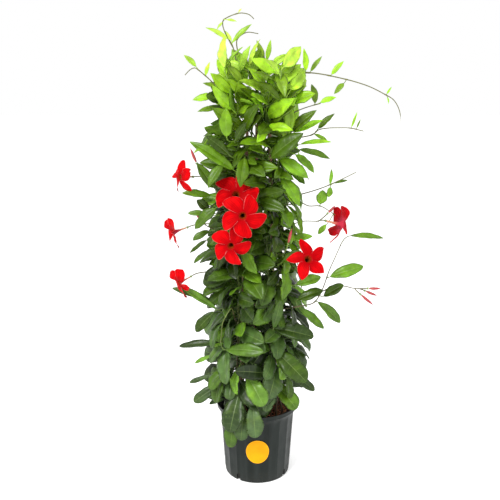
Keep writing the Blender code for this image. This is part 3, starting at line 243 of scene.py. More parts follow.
# Leaves with a place of their own, in millimetres: foot of the blade, tip and full width
PLACED_LEAVES = (
    # on the tallest tip
    ((-50, -30, 1281), (-42, -30, 1290), 6),
    ((-90, -30, 1258), (-106, -30, 1238), 10),
    ((-76, -30, 1216), (-128, -30, 1246), 15),
    ((-66, -30, 1208), (-16, -30, 1253), 17),
    ((-68, -30, 1212), (-86, -24, 1238), 10),
    # on the left sprig
    ((-160, -20, 1149), (-191, -20, 1178), 16),
    ((-136, -20, 1127), (-124, -20, 1161), 14),
    ((-112, -22, 1100), (-143, -24, 1108), 14),
    # on the long runner and the right shoulder
    ((124, 0, 1139), (118, 0, 1196), 19),
    ((137, 0, 1138), (166, 0, 1176), 13),
    ((112, 0, 1128), (120, -4, 1092), 22),
    ((192, 0, 1130), (223, 0, 1164), 16),
    ((225, 0, 1108), (200, 0, 1080), 16),
    ((338, 0, 1080), (350, 0, 1099), 6),
    ((340, 0, 1073), (344, 0, 1055), 6),
    # on the second runner
    ((160, 0, 991), (203, 0, 1030), 20),
    ((150, 0, 976), (186, 0, 958), 14),
    ((248, 0, 994), (262, 0, 1034), 7),
    ((262, 0, 992), (272, 0, 1016), 5),
    # on the runner at mid height
    ((170, 0, 788), (176, -2, 827), 34),
    # on the tendril above it
    ((195, 0, 842), (198, 0, 884), 12),
    ((205, 0, 845), (243, 0, 853), 10),
    ((196, -4, 835), (191, -6, 808), 18),
    # on the flower stalk and the low shoot
    ((188, -2, 732), (166, 0, 705), 16),
    ((255, 0, 700), (347, 0, 693), 21),
    ((198, -30, 591), (289, -30, 621), 37),
    ((180, -45, 540), (234, -45, 573), 30),
    ((163, -60, 529), (227, -55, 468), 32),
    # left edge, from the top down
    ((-112, -30, 1075), (-170, -30, 1065), 25),
    ((-108, 0, 1045), (-160, 0, 1035), 22),
    ((-62, -90, 890), (-176, -76, 962), 36),
    ((-74, -100, 930), (-132, -104, 978), 30),
    ((-92, -98, 905), (-128, -122, 850), 34),
    ((-125, -30, 815), (-202, -38, 824), 25),
    ((-115, -70, 842), (-158, -80, 908), 30),
    ((-129, -70, 784), (-160, -75, 811), 26),
    ((-135, -74, 773), (-184, -74, 776), 18),
    ((-109, -100, 794), (-164, -100, 739), 40),
    ((-137, -50, 699), (-183, -50, 663), 15),
    ((-132, -50, 671), (-173, -50, 635), 15),
    ((-112, -52, 505), (-220, -42, 556), 22),
    ((-120, -4, 508), (-240, 8, 548), 22),
    ((-105, -60, 412), (-218, -52, 398), 26),
    ((-120, -42, 370), (-176, -40, 343), 14),
    ((-120, -42, 310), (-192, -40, 284), 16),
    ((-100, -62, 290), (-178, -72, 240), 34),
    # the crown
    ((-80, -98, 975), (-80, -104, 1048), 36),
    ((-58, -106, 968), (-30, -122, 1012), 24),
    ((-45, -46, 1138), (-20, -52, 1200), 26),
    ((-80, -58, 1122), (-92, -62, 1182), 36),
    ((-42, -70, 1112), (-78, -84, 1150), 28),
    ((-22, -40, 1115), (16, -34, 1174), 32),
    ((46, -58, 1140), (66, -108, 1072), 35),
    ((36, -20, 1150), (76, -20, 1180), 22),
    ((14, -20, 1160), (-6, -18, 1214), 17),
    ((22, -22, 1165), (32, -22, 1216), 14),
    ((14, -42, 1160), (20, -74, 1130), 22),
    # right edge, from the top down
    ((92, -32, 1058), (146, -52, 1082), 38),
    ((150, 0, 1056), (140, 2, 1106), 22),
    ((164, 0, 1058), (206, 0, 1072), 19),
    ((88, -42, 985), (150, -54, 1040), 32),
    ((96, -16, 982), (170, -22, 1014), 22),
    ((80, -62, 985), (76, -66, 1064), 32),
    ((32, -90, 922), (112, -122, 986), 52),
    ((112, -10, 950), (196, -12, 956), 16),
    ((108, -30, 938), (190, -34, 914), 22),
    ((98, -42, 926), (146, -62, 880), 28),
    ((55, -74, 918), (126, -104, 872), 38),
    ((82, -52, 700), (146, -56, 710), 22),
    ((62, -98, 648), (112, -122, 682), 26),
    # the lower front
    ((42, -108, 470), (60, -132, 555), 28),
    ((-88, -98, 405), (14, -150, 420), 38),
    ((42, -88, 330), (-60, -142, 362), 46),
    ((46, -88, 400), (130, -130, 326), 58),
    ((92, -52, 318), (160, -62, 270), 28),
    ((42, -80, 460), (150, -104, 444), 54),
    # over the pot's rim
    ((-50, -92, 282), (-76, -146, 186), 66),
    ((-36, -108, 240), (-46, -150, 164), 46),
    ((-14, -108, 256), (-6, -150, 172), 50),
    ((-64, -102, 232), (-74, -144, 140), 42),
    ((-34, -72, 280), (-2, -118, 226), 50),
    ((30, -60, 300), (22, -112, 230), 46),
    ((46, -52, 290), (108, -92, 228), 50),
    ((-92, -52, 240), (-136, -54, 226), 17),
    # at the edges, among those above
    ((-80, -36, 1263), (-54, -40, 1258), 10),
    ((-128, -72, 728), (-172, -78, 704), 22),
    ((-118, -56, 500), (-170, -62, 444), 34),
    ((104, -62, 578), (170, -64, 600), 30),
    ((108, -72, 540), (175, -76, 567), 34),
    ((112, -44, 508), (184, -42, 446), 30),
)

# Blooms: throat in millimetres, way it faces, size, lift, turn in degrees and breadth of the petals
BLOOMS = (
    ((-207, -34, 866), (-0.80, -0.58, 0.05), 0.76, -0.10, 10, 0.80),
    ((-228, -30, 716), (-0.88, -0.40, -0.25), 0.76, 0.35, 50, 0.95),
    ((-214, -52, 580), (-0.76, -0.55, -0.30), 0.74, 0.05, 50, 0.85),
    ((-57, -102, 830), (-0.10, -0.88, 0.46), 0.98, 0.40, -23, 1.0),
    ((-39, -182, 788), (0.02, -1.0, 0.10), 0.93, 0.12, -28, 0.95),
    ((-70, -156, 706), (-0.12, -0.98, -0.06), 0.84, 0.05, 54, 0.95),
    ((129, -130, 666), (0.16, -0.86, 0.42), 0.94, -0.05, 16, 0.62),
    ((230, 4, 730), (0.92, 0.26, -0.28), 0.92, -0.10, 25, 0.85),
)

# Buds: foot and tip in millimetres
BUDS = (
    ((-163, -30, 905), (-178, -32, 942)),
    ((-146, -30, 796), (-162, -34, 806)),
    ((-150, -60, 756), (-166, -66, 778)),
    ((192, -12, 767), (210, -12, 786)),
    ((79, -100, 703), (88, -103, 742)),
    ((307, -30, 558), (340, -30, 558)),
    ((286, -34, 540), (320, -36, 512)),
    ((300, -22, 548), (332, -20, 534)),
)

# Heights of the crown and how far leaf tips reach from its middle there
CROWN_HEIGHTS = (0.20, 0.35, 0.55, 0.80, 1.00, 1.10, 1.20)
CROWN_REACH = (0.132, 0.146, 0.146, 0.142, 0.144, 0.144, 0.118)

# How leaves change up the plant: fraction of the height, then the value there
LEVELS = (0.0, 0.3, 0.75, 0.92, 1.0)
LEAF_LENGTHS = (0.098, 0.104, 0.100, 0.088, 0.074)
LEAF_RATIOS = (0.60, 0.53, 0.44, 0.43, 0.46)
LEAF_PITCHES = (-12.0, -8.0, 8.0, 28.0, 48.0)
LEAF_DROOPS = (40.0, 44.0, 38.0, 24.0, 14.0)
FOOT_POWERS = (0.95, 0.80, 0.75, 0.75, 0.75)
TIP_POWERS = (0.50, 0.64, 0.85, 1.00, 1.00)
PETIOLES = (0.020, 0.018, 0.015, 0.012, 0.007)
PAIR_SPACINGS = (0.121, 0.121, 0.101, 0.067, 0.047)

# Colours of materials, linear: leaves, then petals from throat to edge, pot and label
WHITE = (1, 1, 1, 1)
UNDERSIDE = (0.150, 0.240, 0.080)
PATCH_TINT = (1.50, 1.38, 0.75)
PALE_VEIN = (0.42, 0.58, 0.18)
GLOW_TINT = (1.75, 1.75, 0.9)
# Petal face: deeper red towards the throat and in patches, partly its own colour and partly painted shade
FACE_FOOT_AND_SHADED = (0.340, 0.000, 0.002)
FACE_DEEP_AND_SHADED = (0.390, 0.000, 0.002)
# Throat, from the mouth inwards: red, a brownish ring, then a dark brown deep in the funnel that is partly
# its own colour and partly painted shade
THROAT_TONES_AND_SHADE = (((0.330, 0.010, 0.004), 0.47, 0.53), ((0.280, 0.050, 0.006), 0.40, 0.48),
                ((0.120, 0.028, 0.006), 0.24, 0.38))
BACK_FOOT = (0.620, 0.045, 0.085)
BACK_TIP = (0.500, 0.005, 0.010)
TUBE_FOOT = (0.700, 0.360, 0.200)
# Pale pink petal margin: partly the petal's own paler edge, partly a painted rim highlight
PETAL_EDGE_AND_HIGHLIGHT = (0.950, 0.250, 0.240)
POT_DARK = (0.0045, 0.0075, 0.0060)
POT_LIGHT = (0.0085, 0.0120, 0.0100)
POT_DUST = (0.075, 0.074, 0.066)
AMBER = (0.880, 0.345, 0.002)
AMBER_DEEP = (0.820, 0.295, 0.001)
AMBER_EDGE = (0.900, 0.440, 0.008)

# Finishes: roughness and specular of surfaces, scale and detail of noises, bounds of ramps, and bumps
NOISE_SPAN = (0.3, 0.7)
LEAF_SURFACE = (0.30, 0.27)
UNDER_SURFACE = (0.62, 0.10)
UNDER_SHARE = 0.30
VEIN_SPAN = (0.02, 0.14, 1.0, 0.0)
VEIN_FADE = (0.25, 0.95, 1.0, 0.15)
VEIN_SHARE = 0.10
UNDER_VEIN_SHARE = 0.22
VEIN_RELIEF = 0.8
MIDRIB_SPAN = (0.010, 0.045, 1.0, 0.0)
MIDRIB_SHARE = 0.60
MARGIN_SPAN = (0.95, 0.995)
MARGIN_SHARE = 0.55
PALE_SHARE = 0.38
BLOTCHES = (48, 4.0)
BLOTCH_DEPTH = 0.22
PATCHES = (30, 2.0)
PATCH_SPAN = (0.50, 0.72)
PATCH_SHARE = 0.55
LEAF_GRAIN = (900, 2.0)
GRAIN_SHARE = 0.25
LEAF_DENTS = (70, 3.0)
DENT_SHARE = 2.0
LEAF_BUMP = (0.45, 0.0005)
LEAF_GLOW = 0.24
PETAL_SURFACE = (0.5, 0.03)
STREAKS = (1.0, 4.0, (30, 2.0, 1))
STREAK_DEPTH = 0.20
BACK_SPAN = (0.52, 0.74)
TUBE_SPAN = (0.10, 0.40, 1.0, 0.0)
FACE_SPAN = (0.50, 0.78)
FACE_PATCHES = (55, 4.0)
FACE_PATCH_SPAN = (0.35, 0.65, 0.35, 1.0)
EDGE_SIDES = (0.93, 0.985)
EDGE_END = (0.984, 0.993)
EDGE_START = (0.495, 0.52)
EDGE_BREAKUP = (140, 3.0)
EDGE_BREAKUP_SPAN = (0.35, 0.65, 0.2, 1.0)
EDGE_SHARE = 0.62
PETAL_BUMP = (0.5, 0.0008)
PETAL_GLOW = 0.18
POT_SURFACE = (0.40, 0.16)
POT_CLOUDS = (14, 4.0)
POT_MARKS = (((34, 2.0, (1, 1, 0.03)), (0.42, 0.66), 0.55, (0.018, 0.023, 0.021)),
             ((70, 6.0, (1, 1, 0.25)), (0.58, 0.74), 0.12, (0.055, 0.062, 0.060)))
DUST_SPAN = (0.0, 0.05, 0.25, 0.0)
DUST_NOISE = (120, 4.0)
POT_WEAR = (35, 5.0)
POT_ROUGHNESS = (0.34, 0.50)
POT_GRAIN = (420, 3.0)
POT_BUMP = (0.12, 0.0006)
LABEL_SURFACE = (0.5, 0.1)
LABEL_CLOUDS = (26, 3.0)
LABEL_CLOUD_SPAN = (0.35, 0.65)
LABEL_RING = (0.955, 0.975)
LABEL_GRAIN = (1500, 2.0)
LABEL_BUMP = (0.15, 0.0002)
FLOOR_SURFACE = (0.9, 0.0)

# Toned finishes: name, roughness, scale and depth of the mottling, relief, stretch, detail and distance
TONED_RELIEF = 0.0012
STEM_BARK = ("stem_bark", 0.55, 300, 0.28, 0.4, (1, 1, 0.12), 3.0, 0.0004)
BUD_SKIN = ("bud_skin", 0.5, 160, 0.12, 0.2, (1, 1, 0.2))
SOIL_CRUMB = ("soil_crumb", 0.95, 260, 0.5, 0.8)
BARK_CHIP = ("bark_chip", 0.85, 320, 0.35, 0.6)
BAMBOO_SKIN = ("bamboo_skin", 0.5, 260, 0.14, 0.25, (1, 1, 0.06))

# Camera: where it stands, how far it looks down, and its focal length in pixels of the 500 pixel frame
CAMERA_PLACE = (-0.021, -1.85, 1.087)
CAMERA_DOWN = math.radians(13)
FOCAL_PIXELS = 687
FRAME_PIXELS = 500
SENSOR = 36.0
CLIP_START = 0.01

# Finer leaves: columns across a blade, how its rows close up at both ends, and the relief of its surface
VEINS = 8
SMALL_VEINS = 5
SMALL_LEAF = 0.055
COLUMNS = (-1, -0.74, -0.44, -0.17, 0, 0.17, 0.44, 0.74, 1)
BLADE_FOOT = 0.012
BLADE_TIP = 0.988
ROWS_EVEN = 0.55
VEIN_LEAN = 0.34
BULGE = 0.34
BULGE_FADE = 0.5
CURL = 0.10
CURL_POWER = 5
RIPPLE_POWER = 1.5
EDGE_SWAY = 0.06
EDGE_RATE = 11
FINE_WAVE = 0.03
FINE_WAVE_RATE = 24
QUILT = 0.0003
QUILT_WIDTH = 0.040
QUILT_MOST = 1.4
GROOVE = 0.0004
LEAF_THICKNESS = 0.00045
RIB = 0.0008
RIB_FADE = 0.8
BLADE_SHADES = (1.12, 0.92)
TIP_SHADE = 0.9

# Finer petioles, stems and calyxes
PETIOLE_STEPS = 6
PETIOLE_SIDES = 6
PETIOLE_FOOT = 0.0014
PETIOLE_END = 0.0011
PETIOLE_BEND = 0.45
PETIOLE_REACH = 0.05
PETIOLE_UNDER = 0.0006
PETIOLE_SLIM = 0.5
PETIOLE_FULL_WIDTH = 0.04
TUBE_SIDE = Vector((0.31, 0.87, 0.37))
STEM_STEP = 0.007
STEM_SIDES = 8
SHOOT_SIDES = 6
SHOOT_MORE = 1.5
SHOOT_GAP = 0.0005
NODE_SWELL = 0.45
NODE_REACH = 0.004
CALYX_STEPS = 4 * CALYX_SIDES
CALYX_POWER = 1.5
CALYX_LOBES = 0.10
CALYX_TONE = (0.16, 0.24, 0.05)
CALYX_RINGS = ((0.0011, -0.0012, 0), (0.0019, 0.0004, 0), (0.0031, 0.0022, 0), (0.0033, 0.0034, 0.0022),
               (0.0029, 0.0034, 0.0018), (0.0012, 0.0030, 0))

# Colours of stems, linear: woody low down, green above, and redder where a free shoot stands out
WOOD = (0.090, 0.060, 0.030)
GREEN_STEM = (0.160, 0.270, 0.030)
RED_STEM = (0.075, 0.030, 0.018)
GREEN_HEIGHTS = (0.25, 0.75)
GREEN_FRONT = (-0.10, -0.07)
SHOOT_RED = 0.7
FREE_FOOT = (0.16, 0.24)
STALK_BLEND = 0.5

# Colours of leaves, linear, by height on the plant
TONE_HEIGHTS = (0.20, 0.45, 0.60, 0.87, 0.97, 1.03, 1.10, 1.17)
TONES = ((0.058, 0.100, 0.033), (0.046, 0.092, 0.018), (0.038, 0.080, 0.005), (0.052, 0.104, 0.004),
         (0.080, 0.165, 0.004), (0.145, 0.265, 0.006), (0.262, 0.462, 0.014), (0.420, 0.610, 0.070))
TONE_PLAY = 0.05
TONE_STATION = 0.7
TONE_SPREAD = (0.31, 1.70)
BRIGHT_HEIGHTS = (0.90, 0.97, 1.08, 1.17)
DARKEST = (0.31, 0.34, 0.46, 0.90)
BRIGHTEST = (1.70, 1.66, 1.34, 1.12)

# Fresher leaves: those that reach out of the crown, and some others; leaves that stand in the light at the
# right get the same brighter greens as painted light
FRESH_AND_LIT_GREEN = (0.140, 0.290, 0.014)
YOUNG_AND_LIT_GREEN = (0.290, 0.530, 0.022)
YOUNG_FOOT = 0.95
MOST_FRESH_AND_LIT = 0.75
FRESH_SHARE = 0.16
FRESH_RANGE = (0.5, 1.0)
FREE_REACH = (0.14, 0.20)
FREE_HEIGHTS = (0.35, 0.60)
FREE_SHARES = (0.25, 1.0)
LIT_SIDE = (0.045, 0.085)
LIT_HEIGHTS = (0.58, 0.70, 1.00, 1.10)

# Painted shade: leaves inside the crown, below its top, are darkened towards this deep green
CROWN_PAINTED_SHADE = (0.014, 0.040, 0.003)
PAINTED_SHADE_REACH = (0.03, 0.10)
PAINTED_SHADE_SHARES = (0.75, 0)
PAINTED_SHADE_HEIGHTS = (1.08, 1.17)

# More leaves between those of the solids
MORE_SEED = 50000
MORE_DRAWS = 24
MORE_FIRST = 0.06
MORE_FOOT = 0.225
MORE_SPACINGS = (0.038, 0.036, 0.032, 0.026, 0.023)
MORE_SWAY = 0.5
MORE_SHRINK = 0.35

# How near the box of the solids a point may come before it is drawn in
SOFT_EDGE = 0.006

# Finer blooms: rows of a petal, two waves across and along it, and how its petals differ
PETAL_STEPS = 14
PETAL_COLUMNS = 12
PETAL_END = 0.992
PETAL_CLOSING = 0.85
PETAL_RUFFLE = 0.0048
RUFFLE_MIDDLE = 0.25
RUFFLE_POWER = 1.5
RUFFLE_RANGE = (0.6, 1.2)
PETAL_SWAY = 0.16
PETAL_SHORTER = 0.06
PETAL_TIP_CURL = 0.007
PETAL_TIP_POWER = 4
SWAY_RATE = 2.4
SHORTER_RATE = 3.7
RUFFLE_RATE = 2.6
RUFFLE_TURN = 1.7
FINE_RUFFLE = 0.8
FINE_RUFFLE_RATES = (8, 2)
FINE_RUFFLE_TURN = 2.3
CURL_RANGE = (0.2, 1.0)
PETAL_CUP = 0.010
PETAL_CUP_LEVEL = 0.4
FUNNEL_STEPS = 14
FUNNEL_LOBES = 0.03
FINE_PETAL = 0.0005
BLOOM_SEED = 7000
SCARLET = (0.600, 0.0010, 0.003)
SHADE_RANGE = (0.9, 1.05)

# Finer buds
BUD_STEPS = 16
BUD_MORE = 1.2
BUD_FINE_SIDES = 15
BUD_TIP = (1.0, 0.03)
BUD_RIDGE = 0.09
BUD_TWIST = 5
BUD_TONE_POWER = 0.7
BUD_FOOT_TONE = (0.380, 0.075, 0.055)
BUD_TIP_TONE = (0.330, 0.010, 0.026)

# Finer pot: rows of radius, height and share of the flutes' depth, up to the body and over the rim
POT_FINE_STEPS = 400
FLUTE_MORE = 1.5
FLUTE_FOOT_SHARE = 0.8
FLUTE_TOP_SHARE = 0.7
FLUTE_POWER = 0.35
POT_SHARP = 38
RIM_FOOT = POT_HEIGHT - RIM_HEIGHT
INNER = FLUTE_DEPTH + POT_WALL
BODY_FOOT = 0.007
BODY_SPAN = NECK_HEIGHT - 0.012
BODY_LEVELS = 15
SHOULDER = 0.183
POT_FOOT = ((BASE_RADIUS - 0.014, 0.0012, 0), (BASE_RADIUS - 0.010, 0.0, 0), (BASE_RADIUS - 0.0032, 0.0, 0),
            (BASE_RADIUS - 0.0020, 0.0006, 0), (BASE_RADIUS - 0.0013, 0.0022, 0))
POT_RIM = ((BODY_RADIUS, NECK_HEIGHT, 0.1), (BODY_RADIUS + 0.0012, 0.1915, 0),
           (RIM_RADIUS - 0.0052, RIM_FOOT - 0.0030, 0), (RIM_RADIUS - 0.0030, RIM_FOOT - 0.0012, 0),
           (RIM_RADIUS - 0.0014, RIM_FOOT, 0), (RIM_RADIUS - 0.0008, RIM_FOOT + 0.004, 0),
           (RIM_RADIUS - 0.0002, POT_HEIGHT - 0.0016, 0), (RIM_RADIUS, POT_HEIGHT - 0.0009, 0),
           (RIM_RADIUS - 0.0004, POT_HEIGHT - 0.0002, 0), (RIM_RADIUS - 0.0010, POT_HEIGHT, 0),
           (RIM_RADIUS - 0.0016, POT_HEIGHT - 0.0003, 0), (RIM_RADIUS - POT_WALL, POT_HEIGHT - 0.0010, 0),
           (RIM_RADIUS - POT_WALL - 0.002, RIM_FOOT, 0),
           (BODY_RADIUS - INNER + 0.002, NECK_HEIGHT + 0.004, 0),
           (BODY_RADIUS - INNER, NECK_HEIGHT - 0.002, 0), (BASE_RADIUS - INNER, POT_FLOOR + 0.004, 0),
           (BASE_RADIUS - INNER - 0.003, POT_FLOOR, 0))
DRAIN_CORNER = 0.003
DRAIN_CORNER_STEPS = 4

# Finer label, soil, bark and canes
LABEL_FINE_STEPS = 96
LABEL_SHARES = (1.0, 0.985, 0.9, 0.6, 0.3, 0.02)
LABEL_THIN_EDGE = 0.6
LABEL_SHARP = 50
SOIL_FINE_STEPS = 120
SOIL_RINGS = 34
SOIL_SEED = 31
SOIL_CLOSING = 1.2
SOIL_MIDDLE = 0.97
SOIL_SLOPE = 1.35
SOIL_SHOULDER = 0.002
SOIL_SUNK = 0.0006
SOIL_ROUGH = 0.0030
SOIL_TONE = (0.045, 0.024, 0.014)
# Painted shade: the soil's side, under the pot's wall, is made near black
SOIL_SIDE_PAINTED_SHADE = (0.005, 0.004, 0.003)
BARK_SEED = 32
BARK_CHIPS = 900
BARK_REACH = 0.098
BARK_EDGE = 0.099
BARK_SLOPE_RADIUS = 0.1
BARK_LENGTHS = (0.004, 0.012)
BARK_LONG_SHARE = 0.2
BARK_LONGER = 1.5
BARK_WIDTHS = (0.35, 0.7)
BARK_THICKNESS = (0.0012, 0.0030)
BARK_HEIGHTS = (-0.001, 0.0025)
BARK_LEAN = (-0.5, 0.5)
BARK_ROUGH = (0.8, 1.12)
BARK_UNEVEN = (-0.1, 0.1)
BARK_POINTED = 0.2
BARK_SIDES = 8
BARK_SHARP = 40
BARK_RINGS = ((-0.5, 0.7), (-0.3, 1.0), (0.3, 1.0), (0.5, 0.75))
BARK_SHADES = (0.6, 1.3)
BARK_TONES = ((0.240, 0.085, 0.038), (0.120, 0.046, 0.026), (0.400, 0.150, 0.070), (0.060, 0.030, 0.020))
CANE_STEP = 0.004
CANE_FINE_SIDES = 16
CANE_SHARP = 60
CANE_JOINT_PLACE = 0.75
CANE_SWELL_REACH = 0.0022
CANE_PINCH = 0.04
CANE_PINCH_BELOW = 0.004
CANE_PINCH_REACH = 0.0016
CANE_TONE_REACH = 0.003
CANE_TONE = (0.250, 0.130, 0.062)
CANE_JOINT_TONE = (0.160, 0.082, 0.045)

# Studio: strength of the surround, and each light's name, place, target, size and power
WORLD_LIGHT = 1.0
LIGHTS = (
    ("key", (-1.5, -2.2, 3.0), (0, 0, 0.7), 1.3, 115),
    ("fill", (2.2, -2.2, 1.2), (0, 0, 0.5), 2.0, 18),
)
FLOOR_REACH = 30.0
FLOOR_DROP = 0.001
FLOOR_GLOW = 0.25


def mm(place):
    """A place in millimetres, as a vector in metres."""
    return Vector(place) / 1000


def between(value, places, values):
    """The value on a line through a few places."""
    return float(np.interp(value, places, values))


def at_level(values, height):
    """A leaf value at a height on the plant."""
    return between((height - FIRST_PAIR) / (LEAF_TOP - FIRST_PAIR), LEVELS, values)


def part_against(vector, direction):
    """The share of a vector that stands square to a direction, at length 1."""
    return (vector - direction * vector.dot(direction)).normalized()


def polar(radius, turn, height):
    """A place at a radius, a turn about the upright axis and a height."""
    return Vector((radius * math.cos(turn), radius * math.sin(turn), height))


def turns(steps):
    """Even steps all the way round."""
    return [math.tau * i / steps for i in range(steps)]


def linked(name, data):
    """A new object in the scene."""
    made = bpy.data.objects.new(name, data)
    bpy.context.scene.collection.objects.link(made)
    return made


def evaluated_mesh(thing):
    """A new mesh of an object as it looks with its modifiers."""
    graph = bpy.context.evaluated_depsgraph_get()
    return bpy.data.meshes.new_from_object(thing.evaluated_get(graph))


class Leaf:
    """A leaf: a petiole from its root to the foot of a blade that arches and waves."""

    def __init__(self, root, foot, aim, face, length, width, droop, rng):
        self.root = root
        self.foot = foot
        self.aim = aim
        self.face = face
        self.length = length
        self.width = width
        self.foot_power = at_level(FOOT_POWERS, foot.z)
        self.tip_power = at_level(TIP_POWERS, foot.z)
        self.droop = droop
        self.fold = math.radians(rng.uniform(*FOLD_RANGE))
        self.twist = math.radians(rng.uniform(*TWIST_RANGE))
        self.wave = WAVE_DEPTH * width * rng.uniform(*WAVE_RANGE)
        self.phase = rng.uniform(0, math.tau)
        self.stations = BLADE_STATIONS
        if width > DETAILED_WIDTH:
            self.stations = WIDE_STATIONS
        elif width < PLAIN_WIDTH:
            self.stations = NARROW_STATIONS

    def half_width(self, s):
        """Half the blade's width at a fraction s of its length."""
        peak = self.foot_power / (self.foot_power + self.tip_power)
        top = peak ** self.foot_power * (1 - peak) ** self.tip_power
        return 0.5 * self.width * s ** self.foot_power * (1 - s) ** self.tip_power / top

    def station(self, s):
        """The midrib's place at a fraction s, with the ways across and up from it."""
        turn = self.droop * s
        run = self.aim * math.sin(turn) - self.face * (1 - math.cos(turn))
        place = self.foot + run * (self.length / self.droop)
        along = self.aim * math.cos(turn) - self.face * math.sin(turn)
        up = self.face * math.cos(turn) + self.aim * math.sin(turn)
        side = along.cross(up)
        twist = self.twist * s
        across = side * math.cos(twist) + up * math.sin(twist)
        up = up * math.cos(twist) - side * math.sin(twist)
        return place, across, up

    def edge(self, s, side, more=0.0):
        """The blade's edge at a fraction s, on the side -1 or 1."""
        place, across, up = self.station(s)
        half = self.half_width(s)
        ripple = self.wave * math.sin(WAVE_RATE * s + self.phase + side) * half / (0.5 * self.width)
        lift = half * math.sin(self.fold) + ripple
        return place + across * side * (half * math.cos(self.fold) + more) + up * lift

    def solid(self, swell=0.0, root_at=0.0):
        """Points and triangles of the leaf, swollen on all sides by a margin."""
        stalk = self.foot - self.root
        root = self.root + stalk.normalized() * min(root_at, stalk.length / 2)
        across = stalk.cross(self.face).normalized()
        up = across.cross(stalk).normalized()
        points = []
        for place, radius in ((root, ROOT_RADIUS + swell), (self.foot, PETIOLE_RADIUS + swell)):
            points += [place - across * radius + up * radius / 2, place + across * radius + up * radius / 2,
                       place - up * radius]
        for s in self.stations:
            place, _, up = self.station(s)
            points += [self.edge(s, -1, swell), place + up * (MIDRIB_UP + swell), self.edge(s, 1, swell),
                       place - up * (MIDRIB_DOWN + swell)]
        faces = [(0, 2, 1)] + bridged(3, 2)
        faces += [(3, 4, 7), (3, 7, 6), (4, 8, 7), (4, 5, 9), (4, 9, 8), (5, 3, 9), (3, 6, 9)]
        for k in range(len(self.stations) - 1):
            left, top, right, under = range(6 + 4 * k, 10 + 4 * k)
            for a, b in ((left, top), (right, top), (right, under), (left, under)):
                faces += [(a, b, b + 4), (a, b + 4, a + 4)]
        last = len(points)
        tip = self.station(1.0)[0]
        points.append(tip + (tip - points[-3]).normalized() * swell)
        faces += [(last - 4 + i, last - 4 + (i + 1) % 4, last) for i in range(4)]
        return points, faces


class Crowd:
    """The solids placed so far, which a new leaf has to stay clear of."""

    def __init__(self):
        self.solids = []

    def add(self, points, faces, owner=None):
        """Add a solid with its box, and the stem that owns it if it is a tube."""
        box = np.array(points)
        tree = BVHTree.FromPolygons(points, faces)
        self.solids.append((box.min(axis=0), box.max(axis=0), tree, owner))

    def add_object(self, thing, owner=None):
        """Add an object as it stands, with its modifiers."""
        mesh = evaluated_mesh(thing)
        points = [thing.matrix_world @ v.co for v in mesh.vertices]
        self.add(points, [tuple(p.vertices) for p in mesh.polygons], owner)
        bpy.data.meshes.remove(mesh)

    def blocks(self, points, faces, stem):
        """Whether a solid would cut any of those placed, other than its own stem."""
        box = np.array(points)
        low = box.min(axis=0)
        high = box.max(axis=0)
        tree = None
        for other_low, other_high, other, owner in self.solids:
            if owner is not None and owner == stem:
                continue
            if (low < other_high).all() and (other_low < high).all():
                tree = tree or BVHTree.FromPolygons(points, faces)
                if tree.overlap(other):
                    return True
        return False

    def take(self, leaf, stem=None):
        """Place a leaf if it stands clear, and say whether it does."""
        points, faces = leaf.solid(CLEARANCE, ROOT_CLEAR)
        if self.blocks(points, faces, stem):
            return False
        self.add(*leaf.solid())
        return True


def cane_axis(cane, height):
    """The middle of a cane at a height: the canes lean in towards each other."""
    turn = CANE_FIRST + cane * math.tau / CANE_COUNT
    rise = (height - SOIL_EDGE) / (CANE_TOP - SOIL_EDGE)
    spread = CANE_FOOT_SPREAD + (CANE_TOP_SPREAD - CANE_FOOT_SPREAD) * rise
    return Vector((spread * math.cos(turn), spread * math.sin(turn), height))


def stem_route(number):
    """The line of a climbing stem, from its foot in the soil to its tip."""
    cane = number // STEMS_PER_CANE
    place = number % STEMS_PER_CANE
    first = place * math.tau / STEMS_PER_CANE + cane
    top = STEM_TOPS[(place + cane) % STEMS_PER_CANE]
    foot = cane_axis(cane, SOIL_CROWN)
    foot += Vector((math.cos(first), math.sin(first), 0)) * FOOT_OFFSET
    route = [Vector((foot.x, foot.y, height)) for height in (SOIL_EDGE - STEM_DEPTH, SOIL_CROWN + FOOT_RISE)]
    turn = 0.0
    while True:
        height = TWINE_FOOT + turn / math.tau * TWINE_PITCH
        if height > top:
            break
        radius = TWINE_RADIUS + TWINE_SWELL * (1 + math.sin(TWINE_SWELL_RATE * turn + number))
        radius += LOOSE_SPREAD * max(0.0, height - LOOSE_HEIGHT)
        offset = Vector((math.cos(first + turn), math.sin(first + turn), 0)) * radius
        route.append(cane_axis(cane, height) + offset)
        turn += TWINE_STEP
    lean = Vector((route[-1].x, route[-1].y, 0)).normalized()
    route.append(route[-1] + lean * STEM_TIP_LEAN + Vector((0, 0, STEM_TIP_RISE)))
    return route


def smooth_route(places, step):
    """Points a step apart on a smooth curve through a few places."""
    ends = [places[0] * 2 - places[1]] + list(places) + [places[-1] * 2 - places[-2]]
    route = [places[0]]
    for before, a, b, after in zip(ends, ends[1:], ends[2:], ends[3:]):
        count = max(1, round((b - a).length / step))
        for k in range(1, count + 1):
            t = k / count
            route.append(0.5 * (2 * a + (b - before) * t + (2 * before - 5 * a + 4 * b - after) * t * t
                                + (3 * a - before - 3 * b + after) * t * t * t))
    return route


